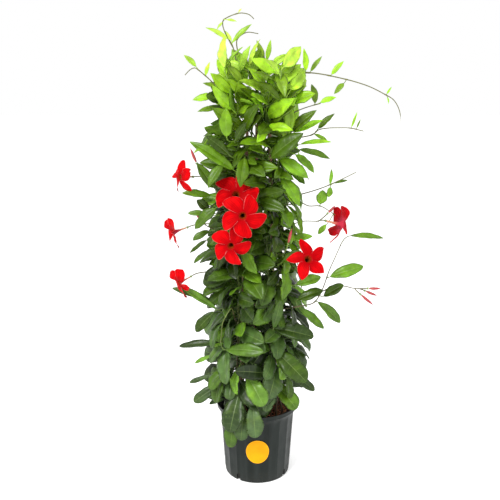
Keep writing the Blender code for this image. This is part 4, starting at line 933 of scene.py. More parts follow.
class Plant:
    """The climbing stems with what grows from each: tubes, leaves, and seats for blooms and buds."""

    def __init__(self, crowd):
        self.crowd = crowd
        self.routes = [stem_route(i) for i in range(CANE_COUNT * STEMS_PER_CANE)]
        self.lines = [(i, route[2:]) for i, route in enumerate(self.routes)]
        self.tubes = [[] for _ in self.routes]
        self.leaves = [[] for _ in self.routes]
        self.calyxes = [[] for _ in self.routes]

    def roots(self, place):
        """The nearest point to a place on each stem and its shoots, nearest first."""
        best = {}
        for stem, line in self.lines:
            for a, b in zip(line, line[1:]):
                t = (place - a).dot(b - a) / (b - a).length_squared
                point = a.lerp(b, min(max(t, ROOT_END), 1 - ROOT_END))
                distance = (point - place).length
                if stem not in best or distance < best[stem][0]:
                    best[stem] = (distance, stem, point)
        return sorted(best.values(), key=lambda found: found[:2])

    def free_root(self, place):
        """The nearest root from which a straight way to a place meets no other stem."""
        found = self.roots(place)
        for _, stem, root in found:
            steps = [root.lerp(place, k / APART_STEPS) for k in range(APART_STEPS + 1)]
            others = [self.roots(step) for step in steps]
            if all(near[0] > STEM_APART for other in others for near in other if near[1] != stem):
                return root, stem
        return found[0][2], found[0][1]

    def grow_shoot(self, places):
        """A free shoot, rooted in a stem near its first place."""
        root, stem = self.free_root(places[0])
        route = smooth_route([root] + list(places), SHOOT_STEP)
        self.tubes[stem].append((route, SHOOT_RADIUS, SHOOT_RADIUS * SHOOT_TAPER))
        self.lines.append((stem, route))

    def grow_stalk(self, foot, facing):
        """A flower stalk to the foot of a bloom or bud, with its calyx."""
        seat = foot - facing * (CALYX_HEIGHT + GAP)
        root, stem = self.free_root(seat - facing * STALK_BACK - STALK_DROP)
        bend = seat - facing * STALK_BEND * (seat - root).length
        places = [root, root.lerp(bend, STALK_LOWER), bend.lerp(seat, STALK_UPPER), seat]
        route = smooth_route(places, SHOOT_STEP)
        self.tubes[stem].append((route, STALK_RADIUS, STALK_RADIUS))
        self.calyxes[stem].append((seat, facing))

    def place_leaf(self, number, foot, tip, width):
        """A leaf with a foot and tip of its own, turned a little until it stands clear."""
        rng = random.Random(number)
        near = self.roots(foot - (tip - foot).normalized() * FOOT_BACK)
        out = Vector((foot.x, foot.y, 0)).normalized()
        for draw in range(PLACED_DRAWS):
            loose = draw / PLACED_DRAWS
            _, stem, root = near[0 if draw < NEAREST_DRAWS else draw % NEAREST_STEMS]
            end = tip + Vector([rng.uniform(-1, 1) for _ in range(3)]) * TIP_PLAY * loose
            droop = math.radians(rng.uniform(*ARCH_RANGE) + ARCH_PLAY * loose * rng.random())
            chord = (end - foot).normalized()
            sway = Vector([rng.uniform(-1, 1) for _ in range(3)]) * FACE_PLAY * loose
            face = part_against(out * FACE_OUT + FACE_WAY + sway, chord)
            aim = chord * math.cos(droop / 2) + face * math.sin(droop / 2)
            up = face * math.cos(droop / 2) - chord * math.sin(droop / 2)
            length = (end - foot).length * (droop / 2) / math.sin(droop / 2)
            leaf = Leaf(root, foot, aim, up, length, width / 1000, droop, rng)
            if self.crowd.take(leaf, stem):
                self.leaves[stem].append(leaf)
                break

    def draw_leaf(self, root, heading, side, rng):
        """One drawn leaf of a pair, which hangs, spreads along the crown or points outwards."""
        habit = rng.random()
        drop, reach, turn, rise = OUTWARD
        if root.z < YOUNG_HEIGHT and habit < HANGING_SHARE:
            drop, reach, turn, rise = HANGING
        elif habit < HANGING_SHARE + SPREADING_SHARE:
            drop, reach, turn, rise = SPREADING
        pitch = math.radians(at_level(LEAF_PITCHES, root.z) + rng.uniform(*PITCH_RANGE) - rng.uniform(*drop))
        turn = heading + side * math.radians(rng.uniform(*turn))
        outward = Vector((math.cos(heading), math.sin(heading), 0))
        aim = Vector((math.cos(turn) * math.cos(pitch), math.sin(turn) * math.cos(pitch), math.sin(pitch)))
        stalk = (aim + outward * rise * PETIOLE_LEAN + Vector((0, 0, rise))).normalized()
        foot = root + stalk * at_level(PETIOLES, root.z) * rng.uniform(*reach)
        face = part_against(UPWARD_FACE + outward * OUTWARD_FACE, aim)
        roll = math.radians(rng.uniform(*ROLL_RANGE))
        face = face * math.cos(roll) + aim.cross(face) * math.sin(roll)
        length = at_level(LEAF_LENGTHS, root.z) * rng.uniform(*LENGTH_RANGE)
        width = length * at_level(LEAF_RATIOS, root.z)
        droop = math.radians(max(LEAST_DROOP, at_level(LEAF_DROOPS, root.z) + rng.uniform(*DROOP_RANGE)))
        leaf = Leaf(root, foot, aim, face, length, width, droop, rng)
        tip = leaf.station(1.0)[0] - CROWN_CENTRE
        crown = between(tip.z, CROWN_HEIGHTS, CROWN_REACH) * rng.uniform(*TIP_RANGE)
        return leaf if math.hypot(tip.x, tip.y) < crown and tip.z > POT_HEIGHT else None

    def pair_roots(self):
        """Where the pairs stand on the climbing stems, from the lowest up, each with its stem."""
        starts = []
        for stem, route in enumerate(self.routes):
            distance = (stem * PAIR_STAGGER) % at_level(PAIR_SPACINGS, FIRST_PAIR)
            walked = 0.0
            for a, b in zip(route[2:], route[3:]):
                piece = (b - a).length
                while distance < walked + piece:
                    root = a.lerp(b, (distance - walked) / piece)
                    if root.z > FIRST_PAIR:
                        starts.append((stem, root))
                    distance += at_level(PAIR_SPACINGS, root.z)
                walked += piece
            starts.append((stem, route[-2].lerp(route[-1], TOP_PAIR)))
        return sorted(starts, key=lambda start: (start[1].z, start[0]))

    def grow_pairs(self):
        """Opposite pairs up every stem, each leaf redrawn until it stands clear."""
        for number, (stem, root) in enumerate(self.pair_roots()):
            heading = math.atan2(root.y - CROWN_CENTRE.y, root.x - CROWN_CENTRE.x)
            for side in (-1, 1):
                rng = random.Random(PAIR_SEED + 2 * number + max(side, 0))
                for _ in range(PAIR_DRAWS):
                    leaf = self.draw_leaf(root + Vector((0, 0, side * PAIR_SHIFT)), heading, side, rng)
                    if leaf and self.crowd.take(leaf):
                        self.leaves[stem].append(leaf)
                        break


def petal_point(s, q, lift, breadth):
    """A point on a petal that heads along +X: s from throat to tip, q from edge to edge.

    Narrow petals end in a point, and broad ones are blunt.
    """
    spread = math.pi / PETALS
    half = THROAT_RADIUS * math.sin(spread) * (1 - s)
    blunt = PETAL_BLUNT / breadth ** 2
    peak = PETAL_SWELL / (PETAL_SWELL + blunt)
    top = peak ** PETAL_SWELL * (1 - peak) ** blunt
    half += breadth * PETAL_WIDTH * s ** PETAL_SWELL * (1 - s) ** blunt / top
    across = math.sin(spread * q) / math.sin(spread)
    x = THROAT_RADIUS * (1 - (1 - s) * (1 - math.cos(spread * q))) + PETAL_LENGTH * s * math.cos(lift)
    y = half * across + PETAL_SKEW * PETAL_LENGTH * s * s
    z = PETAL_LENGTH * (math.sin(lift) * s - PETAL_CURL * s * s)
    z += PETAL_TILT * half * across * min(1, TILT_RISE * s)
    return Vector((x, y, FUNNEL + z))


def funnel_radius(h):
    """The radius of the flower's tube at a fraction h of the way up to its throat."""
    tube = TUBE_RADIUS + TUBE_GROWTH * h
    return tube + (THROAT_RADIUS - TUBE_RADIUS - TUBE_GROWTH) * h ** FUNNEL_POWER


def wall_radius(height):
    """The outer radius of the pot's tapered body at a height."""
    rise = (height - BASE_BEVEL) / (NECK_HEIGHT - BASE_BEVEL)
    return BASE_RADIUS + (BODY_RADIUS - BASE_RADIUS) * rise


def make_tube(route, foot_radius, tip_radius):
    """A closed four-sided tube along a route, tapering to its tip, as in the solids."""
    curve = bpy.data.curves.new("trial", "CURVE")
    curve.dimensions = "3D"
    curve.bevel_depth = 1.0
    curve.bevel_resolution = 0
    curve.use_fill_caps = True
    line = curve.splines.new("POLY")
    line.points.add(len(route) - 1)
    for k, place in enumerate(route):
        line.points[k].co = (*place, 1)
        line.points[k].radius = foot_radius + (tip_radius - foot_radius) * k / (len(route) - 1)
    return linked("trial", curve)


class Shape:
    """Points and faces gathered for one piece, each point with its marks and its tone."""

    def __init__(self):
        self.points = []
        self.faces = []
        self.slots = []
        self.marks = []
        self.tones = []

    def add(self, points, faces, slots, marks, tones):
        """Add a form: marks are a place across and along it, tones a colour."""
        first = len(self.points)
        self.points += [tuple(p) for p in points]
        self.faces += [tuple(first + i for i in face) for face in faces]
        self.slots += slots
        self.marks += marks
        self.tones += [tuple(tone) + (1.0,) for tone in tones]

    def add_rings(self, rings, tones, marks=None):
        """Add a closed form of rings, capped at both ends, with a tone for each ring."""
        count = len(rings[0])
        points = [p for loop in rings for p in loop]
        ends = [tuple(range(count)), tuple(range(len(points) - count, len(points)))]
        faces = bridged(count, len(rings)) + ends
        marks = marks or [(i / count, k / (len(rings) - 1)) for k in range(len(rings)) for i in range(count)]
        self.add(points, faces, [0] * len(faces), marks, [tone for tone in tones for _ in range(count)])

    def add_tube(self, line, radii, sides, tones):
        """Add a round tube along a line, with a radius and a tone for each point of it."""
        side = TUBE_SIDE
        rings = []
        for k, place in enumerate(line):
            along = (line[min(k + 1, len(line) - 1)] - line[max(k - 1, 0)]).normalized()
            side = part_against(side, along)
            other = along.cross(side)
            rings.append([held_inside(place + (side * math.cos(turn) + other * math.sin(turn)) * radii[k])
                          for turn in turns(sides)])
        self.add_rings(rings, tones)

    def piece(self, name, materials, sharp=None, closed=True):
        """The object made of all that was added. An open sheet keeps the way its faces turn."""
        mesh = bpy.data.meshes.new(name)
        mesh.from_pydata(self.points, [], self.faces)
        mesh.polygons.foreach_set("material_index", self.slots)
        if closed:
            bm = bmesh.new()
            bm.from_mesh(mesh)
            bmesh.ops.recalc_face_normals(bm, faces=bm.faces)
            bm.to_mesh(mesh)
            bm.free()
        corners = np.empty(len(mesh.loops), np.int32)
        mesh.loops.foreach_get("vertex_index", corners)
        marks = mesh.uv_layers.new(name="marks")
        marks.data.foreach_set("uv", np.array(self.marks, np.float32)[corners].ravel())
        tone = mesh.color_attributes.new("tone", "FLOAT_COLOR", "POINT")
        tone.data.foreach_set("color", np.array(self.tones, np.float32).ravel())
        mesh.shade_smooth()
        if sharp:
            mesh.set_sharp_from_angle(angle=math.radians(sharp))
        for finish in materials:
            mesh.materials.append(finish)
        return linked(name, mesh)


def dress(piece, slot, *nodes):
    """Set a piece on the frame, in place of its nodes."""
    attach(piece, "root")
    if nodes:
        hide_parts(*nodes)


def blend_tones(a, b, share):
    """A colour between two."""
    return tuple(x + (y - x) * share for x, y in zip(a, b))


def scaled_tone(tone, factor):
    """A colour made darker or brighter."""
    return tuple(x * factor for x in tone)


def bridged(count, rings):
    """Quads between rings of points that follow each other."""
    faces = []
    for low in range(0, (rings - 1) * count, count):
        for i in range(count):
            j = (i + 1) % count
            faces.append((low + i, low + j, low + count + j, low + count + i))
    return faces


def held_inside(place):
    """A place drawn in softly where it would pass the box of the solids."""
    made = place.copy()
    for axis in range(3):
        low, high = CAD_BOX[0][axis], CAD_BOX[1][axis]
        if place[axis] < low + SOFT_EDGE:
            made[axis] = low + SOFT_EDGE * math.exp((place[axis] - low) / SOFT_EDGE - 1)
        elif place[axis] > high - SOFT_EDGE:
            made[axis] = high - SOFT_EDGE * math.exp((high - place[axis]) / SOFT_EDGE - 1)
    return made


def facing_pose(place, facing):
    """The pose of a form that is built along +Z, set at a place and turned to a direction."""
    return Matrix.Translation(place) @ facing.to_track_quat("Z", "Y").to_matrix().to_4x4()


def blade_point(leaf, s, q, high):
    """A point on a blade's upper face, q across from -1 to 1, and the way up there."""
    place, across, up = leaf.station(s)
    side = 1 if q > 0 else -1
    half = leaf.half_width(s)
    full = half / (0.5 * leaf.width)
    half *= 1 + EDGE_SWAY * math.sin(EDGE_RATE * s + 2 * leaf.phase + 2 * side)
    out = abs(q)
    ripple = leaf.wave * math.sin(WAVE_RATE * s + leaf.phase + side)
    ripple += FINE_WAVE * leaf.width * math.sin(FINE_WAVE_RATE * s + 3 * leaf.phase + 2 * side) * out
    lift = half * out * math.sin(leaf.fold) + ripple * full * out ** RIPPLE_POWER
    lift += BULGE * half * (out - out * out) * (1 - BULGE_FADE * s) - CURL * half * out ** CURL_POWER
    lift += QUILT * high * min(1, 4 * out * (1 - out)) * min(QUILT_MOST, leaf.width / QUILT_WIDTH)
    if q == 0:
        lift -= GROOVE * (1 - s)
    return place + across * (q * half * math.cos(leaf.fold)) + up * lift, up


def add_blade(shape, leaf, tone):
    """Add a leaf's blade: rings of a quilted upper face and an underside, which close in the tip."""
    rows = 2 * (VEINS if leaf.length > SMALL_LEAF else SMALL_VEINS) + 1
    columns = COLUMNS + COLUMNS[-2:0:-1]
    count = len(columns)
    points = []
    marks = []
    tones = []
    for r in range(rows):
        t = r / (rows - 1)
        closing = ROWS_EVEN * t + (1 - ROWS_EVEN) / 2 * (1 - math.cos(math.pi * t))
        start = BLADE_FOOT + (BLADE_TIP - BLADE_FOOT) * closing
        for c, q in enumerate(columns):
            s = start + VEIN_LEAN * abs(q) * start * (1 - start)
            point, up = blade_point(leaf, s, q, -1 if r % 2 == 0 else 1)
            if c >= len(COLUMNS):
                point -= up * (LEAF_THICKNESS + (0 if q else RIB * (1 - RIB_FADE * s)))
            points.append(point)
            marks.append(((q + 1) / 2, r / 2 / VEINS))
        tones += [scaled_tone(tone, between(t, (0, 1), BLADE_SHADES))] * count
    tip = len(points)
    points.append(leaf.station(1.0)[0])
    marks.append((0.5, (rows - 1) / 2 / VEINS))
    tones.append(scaled_tone(tone, TIP_SHADE))
    faces = bridged(count, rows)
    faces += [(tip - count + i, tip - count + (i + 1) % count, tip) for i in range(count)]
    faces.append(tuple(range(count)))
    upper = len(COLUMNS) - 1
    shape.add(points, faces, ([1] * upper + [2] * (count - upper)) * rows + [2], marks, tones)


def add_petiole(shape, leaf, root, tone):
    """Add the bent stalk of a leaf, from the stem into the back of its midrib."""
    bend = leaf.foot - leaf.aim * (leaf.foot - root).length * PETIOLE_BEND
    line = []
    for k in range(PETIOLE_STEPS):
        t = k / (PETIOLE_STEPS - 1)
        line.append(root * (1 - t) ** 2 + bend * 2 * t * (1 - t) + leaf.foot * t * t)
    place, _, up = leaf.station(PETIOLE_REACH)
    line.append(place - up * PETIOLE_UNDER)
    slim = min(1.0, PETIOLE_SLIM + leaf.width / PETIOLE_FULL_WIDTH)
    radii = [slim * (PETIOLE_FOOT + (PETIOLE_END - PETIOLE_FOOT) * k / PETIOLE_STEPS)
             for k in range(PETIOLE_STEPS + 1)]
    radii[-1] /= 2
    shape.add_tube(line, radii, PETIOLE_SIDES, [tone] * len(line))


def leaf_tone(leaf, number):
    """The colour of a leaf: grey-green low down, deep in the middle, yellow-green at the top, darkened with
    painted shade inside the crown and brightened with painted light at the lit right side.
    """
    rng = random.Random(number)
    height = leaf.foot.z + rng.uniform(-TONE_PLAY, TONE_PLAY)
    tone = tuple(between(height, TONE_HEIGHTS, [t[i] for t in TONES]) for i in range(3))
    out = leaf.station(TONE_STATION)[0] - CROWN_CENTRE
    reach = math.hypot(out.x, out.y)
    free = between(reach, FREE_REACH, (0, 1)) * between(height, FREE_HEIGHTS, FREE_SHARES)
    # painted shade: the nearer a leaf stands to the middle of the crown below its top, the more it is blended
    # towards a deep green
    inside = between(reach, PAINTED_SHADE_REACH, PAINTED_SHADE_SHARES) * between(height, PAINTED_SHADE_HEIGHTS, (1, 0))
    if rng.random() < FRESH_SHARE:
        free = max(free, rng.uniform(*FRESH_RANGE))
    # painted light: leaves at the right side, at mid height, are brightened towards the fresh or young green
    # as if lit
    lit = between(out.x, LIT_SIDE, (0, 1)) * between(height, LIT_HEIGHTS, (0, 1, 1, 0))
    free = max(free, lit * (1 - inside))
    tone = blend_tones(tone, FRESH_AND_LIT_GREEN if leaf.foot.z < YOUNG_FOOT else YOUNG_AND_LIT_GREEN, MOST_FRESH_AND_LIT * free)
    tone = blend_tones(tone, CROWN_PAINTED_SHADE, inside)
    darkest = between(height, BRIGHT_HEIGHTS, DARKEST)
    brightest = between(height, BRIGHT_HEIGHTS, BRIGHTEST)
    return scaled_tone(tone, min(max(rng.uniform(*TONE_SPREAD), darkest), brightest))


def stem_tone(place, free):
    """The colour of a stem: woody at the foot, green above, reddish on free shoots."""
    tone = blend_tones(WOOD, GREEN_STEM, between(place.z, GREEN_HEIGHTS, (0, 1)))
    return blend_tones(tone, RED_STEM, free * between(place.y, GREEN_FRONT, (0, 1)))


def fine_lines(plant, number):
    """The fine lines of a climbing stem and its shoots, with their radii at both ends and their red."""
    lines = [(smooth_route(plant.routes[number], STEM_STEP), STEM_FOOT_RADIUS, STEM_TIP_RADIUS, 0.0)]
    for route, foot_radius, tip_radius in plant.tubes[number]:
        fine = smooth_route(route, STEM_STEP)
        carried = min((p for line in lines for p in line[0]), key=lambda p: (p - fine[0]).length)
        if (carried - fine[0]).length > SHOOT_GAP:
            fine.insert(0, carried.copy())
        lines.append((fine, SHOOT_MORE * foot_radius, SHOOT_MORE * tip_radius, SHOOT_RED))
    return lines


def add_stem(shape, lines, roots):
    """Add a climbing stem and its shoots, swollen where leaves stand."""
    for line, foot_radius, tip_radius, free in lines:
        radii = []
        tones = []
        for k, place in enumerate(line):
            near = min((place - root).length for root in roots)
            swell = 1 + NODE_SWELL * math.exp(-(near / NODE_REACH) ** 2)
            radii.append((foot_radius + (tip_radius - foot_radius) * k / (len(line) - 1)) * swell)
            tones.append(stem_tone(place, free))
        shape.add_tube(line, radii, SHOOT_SIDES if free else STEM_SIDES, tones)


def add_calyx(shape, seat, facing):
    """Add the green cup of a flower, with five pointed sepals."""
    pose = facing_pose(seat, facing)
    rings = []
    for radius, height, point in CALYX_RINGS:
        loop = []
        for turn in turns(CALYX_STEPS):
            lobe = math.cos(CALYX_SIDES * turn)
            peak = point * (0.5 + 0.5 * lobe) ** CALYX_POWER
            loop.append(pose @ polar(radius * (1 + CALYX_LOBES * lobe), turn, height + peak))
        rings.append(loop)
    shape.add_rings(rings, [CALYX_TONE] * len(rings))


def dress_stems(plant, materials):
    """The leafy stems, one piece for each node."""
    for number in range(len(plant.routes)):
        shape = Shape()
        lines = fine_lines(plant, number)
        spots = [p for line in lines for p in line[0]]
        roots = [min(spots, key=lambda p: (p - leaf.root).length_squared) for leaf in plant.leaves[number]]
        for k, (leaf, root) in enumerate(zip(plant.leaves[number], roots)):
            tone = leaf_tone(leaf, 100 * number + k)
            add_blade(shape, leaf, tone)
            free = SHOOT_RED * between(math.hypot(leaf.foot.x, leaf.foot.y), FREE_FOOT, (0, 1))
            stalk_tone = blend_tones(stem_tone(leaf.foot, free), tone, STALK_BLEND * (1 - free))
            add_petiole(shape, leaf, root, stalk_tone)
        add_stem(shape, lines, roots)
        for seat, facing in plant.calyxes[number]:
            add_calyx(shape, seat, facing)
        name = f"leafy_stem_{number + 1:02d}"
        dress(shape.piece(f"{name}_fine", materials), "leaf", name)


def dress_more_leaves(more, materials):
    """The leaves between those of the solids, one piece for each cane."""
    for cane in range(CANE_COUNT):
        shape = Shape()
        for stem, leaf in more:
            if stem // STEMS_PER_CANE == cane:
                tone = leaf_tone(leaf, len(shape.points))
                add_blade(shape, leaf, tone)
                add_petiole(shape, leaf, leaf.root, blend_tones(stem_tone(leaf.foot, 0.0), tone, STALK_BLEND))
        dress(shape.piece(f"more_leaves_{cane + 1}", materials), "leaf")


class Bloom:
    """A bloom of the table: its place, the way it faces and how its petals stand."""

    def __init__(self, number, throat, facing, size, lift, turn, breadth):
        self.name = f"bloom_{number + 1}"
        self.facing = Vector(facing).normalized()
        self.foot = mm(throat) - self.facing * FUNNEL * size
        self.size = size
        self.lift = lift
        self.turn = turn
        self.breadth = breadth
        self.rng = random.Random(BLOOM_SEED + number)

    def funnel(self):
        """The points and marks of the funnel's rings, the last of them the throat."""
        around = PETALS * PETAL_COLUMNS
        points = []
        marks = []
        for k in range(FUNNEL_STEPS + 1):
            h = k / FUNNEL_STEPS
            for i in range(around):
                bend = math.tau * (i - PETAL_COLUMNS / 2) / around
                radius = THROAT_RADIUS
                if k < FUNNEL_STEPS:
                    radius = funnel_radius(h) * (1 + FUNNEL_LOBES * h * math.cos(PETALS * bend))
                points.append(polar(radius, bend, FUNNEL * h))
                marks.append((i / around, 0.5 * h))
        return points, marks

    def petal_rows(self, petal, ruffle, curl, phase):
        """The rows of one petal's points beyond the throat, with their marks."""
        lift = self.lift + PETAL_SWAY * math.sin(SWAY_RATE * petal + phase)
        shorter = PETAL_SHORTER * (0.5 + 0.5 * math.sin(SHORTER_RATE * petal + 2 * phase))
        rows = []
        for r in range(1, PETAL_STEPS + 1):
            s = PETAL_END * (r / PETAL_STEPS) ** PETAL_CLOSING
            row = []
            for c in range(PETAL_COLUMNS + 1):
                q = 2 * c / PETAL_COLUMNS - 1
                point = petal_point(s, q, lift, self.breadth)
                wave = math.sin(RUFFLE_RATE * q + phase + RUFFLE_TURN * petal)
                along, across = FINE_RUFFLE_RATES
                wave += FINE_RUFFLE * math.sin(along * s + across * q + phase + FINE_RUFFLE_TURN * petal)
                rise = RUFFLE_MIDDLE + (1 - RUFFLE_MIDDLE) * abs(q) ** RUFFLE_POWER
                point.z += ruffle * wave * rise * s - curl * s ** PETAL_TIP_POWER
                point.z += PETAL_CUP * (q * q - PETAL_CUP_LEVEL) * s * (1 - s)
                point.x *= 1 - shorter * s
                point.y *= 1 - shorter * s
                row.append((point, ((q + 1) / 2, 0.5 + 0.5 * s)))
            rows.append(row)
        return rows

    def skin(self):
        """The open sheet of a funnel and five petals set like a pinwheel, its faces turned inwards."""
        around = PETALS * PETAL_COLUMNS
        points, marks = self.funnel()
        faces = [face[::-1] for face in bridged(around, FUNNEL_STEPS + 1)] + [tuple(range(around))]
        mouth = FUNNEL_STEPS * around
        ruffle = self.rng.uniform(*RUFFLE_RANGE) * PETAL_RUFFLE
        curl = self.rng.uniform(*CURL_RANGE) * PETAL_TIP_CURL
        phase = self.rng.uniform(0, math.tau)
        for petal in range(PETALS):
            spin = Matrix.Rotation(math.tau * petal / PETALS, 3, "Z")
            last = [mouth + (petal * PETAL_COLUMNS + c) % around for c in range(PETAL_COLUMNS + 1)]
            for row in self.petal_rows(petal, ruffle, curl, phase):
                here = list(range(len(points), len(points) + len(row)))
                points += [spin @ point for point, _ in row]
                marks += [mark for _, mark in row]
                faces += [(here[c], here[c + 1], last[c + 1], last[c]) for c in range(PETAL_COLUMNS)]
                last = here
        shape = Shape()
        shade = scaled_tone(SCARLET, self.rng.uniform(*SHADE_RANGE))
        shape.add(points, faces, [0] * len(faces), marks, [shade] * len(points))
        return shape

    def dress(self, materials):
        """The corolla, of two skins, in its place."""
        skin = self.skin().piece("skin", materials, closed=False)
        shell = skin.modifiers.new("thickness", "SOLIDIFY")
        shell.thickness = FINE_PETAL
        shell.offset = 0
        shell.material_offset = 1
        shell.material_offset_rim = 1
        mesh = evaluated_mesh(skin)
        bpy.data.objects.remove(skin)
        spin = Matrix.Rotation(math.radians(self.turn), 4, "Z")
        mesh.transform(facing_pose(self.foot, self.facing) @ spin @ Matrix.Scale(self.size, 4))
        for v in mesh.vertices:
            v.co = held_inside(v.co)
        dress(linked(f"{self.name}_fine", mesh), "petal", self.name)


def fine_bud(number, foot, tip, material):
    """A closed bud: a slim spindle of petals rolled round each other."""
    length = (tip - foot).length
    slim = BUD_MORE * min(1.0, BUD_SLIM + (1 - BUD_SLIM) * length / BUD_FULL_LENGTH)
    pose = facing_pose(foot, tip - foot)
    shares, widths = zip(*BUD_PROFILE, BUD_TIP)
    rings = []
    tones = []
    for k in range(BUD_STEPS + 1):
        h = k / BUD_STEPS
        radius = BUD_RADIUS * slim * between(h, shares, widths)
        loop = []
        for turn in turns(BUD_FINE_SIDES):
            ridge = 1 + BUD_RIDGE * math.cos(PETALS * turn + BUD_TWIST * h) - BUD_RIDGE
            loop.append(pose @ polar(radius * ridge, turn, length * h))
        rings.append(loop)
        tones.append(blend_tones(BUD_FOOT_TONE, BUD_TIP_TONE, h ** BUD_TONE_POWER))
    shape = Shape()
    shape.add_rings(rings, tones)
    name = f"bud_{number + 1}"
    dress(shape.piece(f"{name}_fine", [material]), "bud", name)


def cut_drain(pot, turn):
    """Cut a drain hole with round corners into the foot of the pot."""
    hole = bmesh.new()
    bmesh.ops.create_cube(hole, size=1)
    bmesh.ops.scale(hole, vec=DRAIN_SIZE, verts=hole.verts)
    upright = [e for e in hole.edges if abs(e.verts[0].co.x - e.verts[1].co.x) > DRAIN_SIZE[0] / 2]
    bmesh.ops.bevel(hole, geom=upright, offset=DRAIN_CORNER, segments=DRAIN_CORNER_STEPS, affect="EDGES")
    mesh = bpy.data.meshes.new("drain")
    hole.to_mesh(mesh)
    hole.free()
    cutter = linked("drain", mesh)
    cutter.location = polar(BASE_RADIUS, turn, 0)
    cutter.rotation_euler.z = turn
    cut = pot.modifiers.new("drain", "BOOLEAN")
    cut.operation = "DIFFERENCE"
    cut.object = cutter
    mesh = evaluated_mesh(pot)
    pot.modifiers.clear()
    pot.data = mesh
    bpy.data.objects.remove(cutter)


def fine_pot(material):
    """The fluted pot with a rolled lip, soft edges and its drain holes."""
    levels = [*POT_FOOT, (wall_radius(BODY_FOOT), BODY_FOOT, FLUTE_FOOT_SHARE)]
    for k in range(1, BODY_LEVELS):
        height = BODY_FOOT + BODY_SPAN * k / BODY_LEVELS
        levels.append((wall_radius(height), height, 1))
    levels += [(wall_radius(SHOULDER), SHOULDER, FLUTE_TOP_SHARE), *POT_RIM]
    rings = []
    for radius, height, depth in levels:
        loop = []
        for turn in turns(POT_FINE_STEPS):
            flute = FLUTE_MORE * FLUTE_DEPTH * (0.5 - 0.5 * math.cos(FLUTES * turn)) ** FLUTE_POWER
            loop.append(polar(radius - depth * flute, turn, height))
        rings.append(loop)
    shape = Shape()
    shape.add_rings(rings, [(0, 0, 0)] * len(rings))
    pot = shape.piece("pot_fine", [material])
    for turn in turns(DRAIN_HOLES):
        cut_drain(pot, DRAIN_FIRST - math.pi / 2 + turn)
    pot.data.shade_smooth()
    pot.data.set_sharp_from_angle(angle=math.radians(POT_SHARP))
    dress(pot, "pot_plastic", "pot")


def fine_label(material):
    """The bare round label, which follows the pot's wall."""
    rings = []
    marks = []
    for side, shares in ((-0.5, LABEL_SHARES[::-1]), (0.5, LABEL_SHARES)):
        for share in shares:
            lift = LABEL_LIFT + LABEL_THICKNESS * side * (LABEL_THIN_EDGE if share == 1.0 else 1.0)
            loop = []
            for turn in turns(LABEL_FINE_STEPS):
                height = LABEL_HEIGHT + LABEL_RISE * share * math.sin(turn)
                radius = wall_radius(height) + lift
                across = LABEL_RADIUS * share * math.cos(turn)
                loop.append(polar(radius, across / radius - math.pi / 2, height))
                marks.append((share, 0.5 + 0.5 * side))
            rings.append(loop)
    shape = Shape()
    shape.add_rings(rings, [(0, 0, 0)] * len(rings), marks)
    dress(shape.piece("label_fine", [material], sharp=LABEL_SHARP), "label_paper", "label")


def soil_height(radius, reach):
    """The height of the crowned soil at a radius."""
    return SOIL_EDGE + (SOIL_CROWN - SOIL_EDGE) * min(1, SOIL_SLOPE * (1 - radius / reach))


def fine_soil(material):
    """The filling of soil: a rough crowned top over a plain body."""
    rng = random.Random(SOIL_SEED)
    lower = BASE_RADIUS - INNER - SOIL_GAP
    wide = lower + (BODY_RADIUS - BASE_RADIUS) * (SOIL_EDGE - POT_FLOOR) / (NECK_HEIGHT - POT_FLOOR)
    rings = [[polar(radius, turn, height) for turn in turns(SOIL_FINE_STEPS)]
             for radius, height in ((lower, POT_FLOOR + GAP), (wide, SOIL_EDGE - SOIL_SHOULDER))]
    for k in range(1, SOIL_RINGS + 1):
        radius = wide * (1 - (k / SOIL_RINGS) ** SOIL_CLOSING * SOIL_MIDDLE)
        top = soil_height(radius, wide) - SOIL_SUNK
        rings.append([polar(radius, turn, top - rng.uniform(0, SOIL_ROUGH))
                      for turn in turns(SOIL_FINE_STEPS)])
    shape = Shape()
    # the side of the soil, between its first two rings, carries painted shade, near black
    shape.add_rings(rings, [SOIL_SIDE_PAINTED_SHADE] * 2 + [SOIL_TONE] * SOIL_RINGS)
    dress(shape.piece("soil_fine", [material]), "soil", "soil")


def bark(material):
    """Chips of bark that lie on the soil."""
    rng = random.Random(BARK_SEED)
    shape = Shape()
    for _ in range(BARK_CHIPS):
        radius = BARK_REACH * math.sqrt(rng.random())
        around = rng.uniform(0, math.tau)
        long = rng.uniform(*BARK_LENGTHS) * (BARK_LONGER if rng.random() < BARK_LONG_SHARE else 1)
        wide = long * rng.uniform(*BARK_WIDTHS)
        thick = rng.uniform(*BARK_THICKNESS)
        radius = min(radius, BARK_EDGE - long)
        place = polar(radius, around, soil_height(radius, BARK_SLOPE_RADIUS) + rng.uniform(*BARK_HEIGHTS))
        tilt = Matrix.Rotation(rng.uniform(0, math.tau), 3, "Z")
        tilt = tilt @ Matrix.Rotation(rng.uniform(*BARK_LEAN), 3, "X")
        tilt = tilt @ Matrix.Rotation(rng.uniform(*BARK_LEAN), 3, "Y")
        rings = []
        for height, share in BARK_RINGS:
            loop = []
            for turn in turns(BARK_SIDES):
                rough = share * rng.uniform(*BARK_ROUGH)
                reach = long * rough * (1 - BARK_POINTED + BARK_POINTED * abs(math.cos(turn)))
                rise = thick * (height + rng.uniform(*BARK_UNEVEN))
                spot = Vector((reach * math.cos(turn), wide * rough * math.sin(turn), rise))
                loop.append(place + tilt @ spot)
            rings.append(loop)
        tone = scaled_tone(BARK_TONES[rng.randrange(len(BARK_TONES))], rng.uniform(*BARK_SHADES))
        shape.add_rings(rings, [tone] * len(rings))
    dress(shape.piece("soil_bark", [material], sharp=BARK_SHARP), "soil")


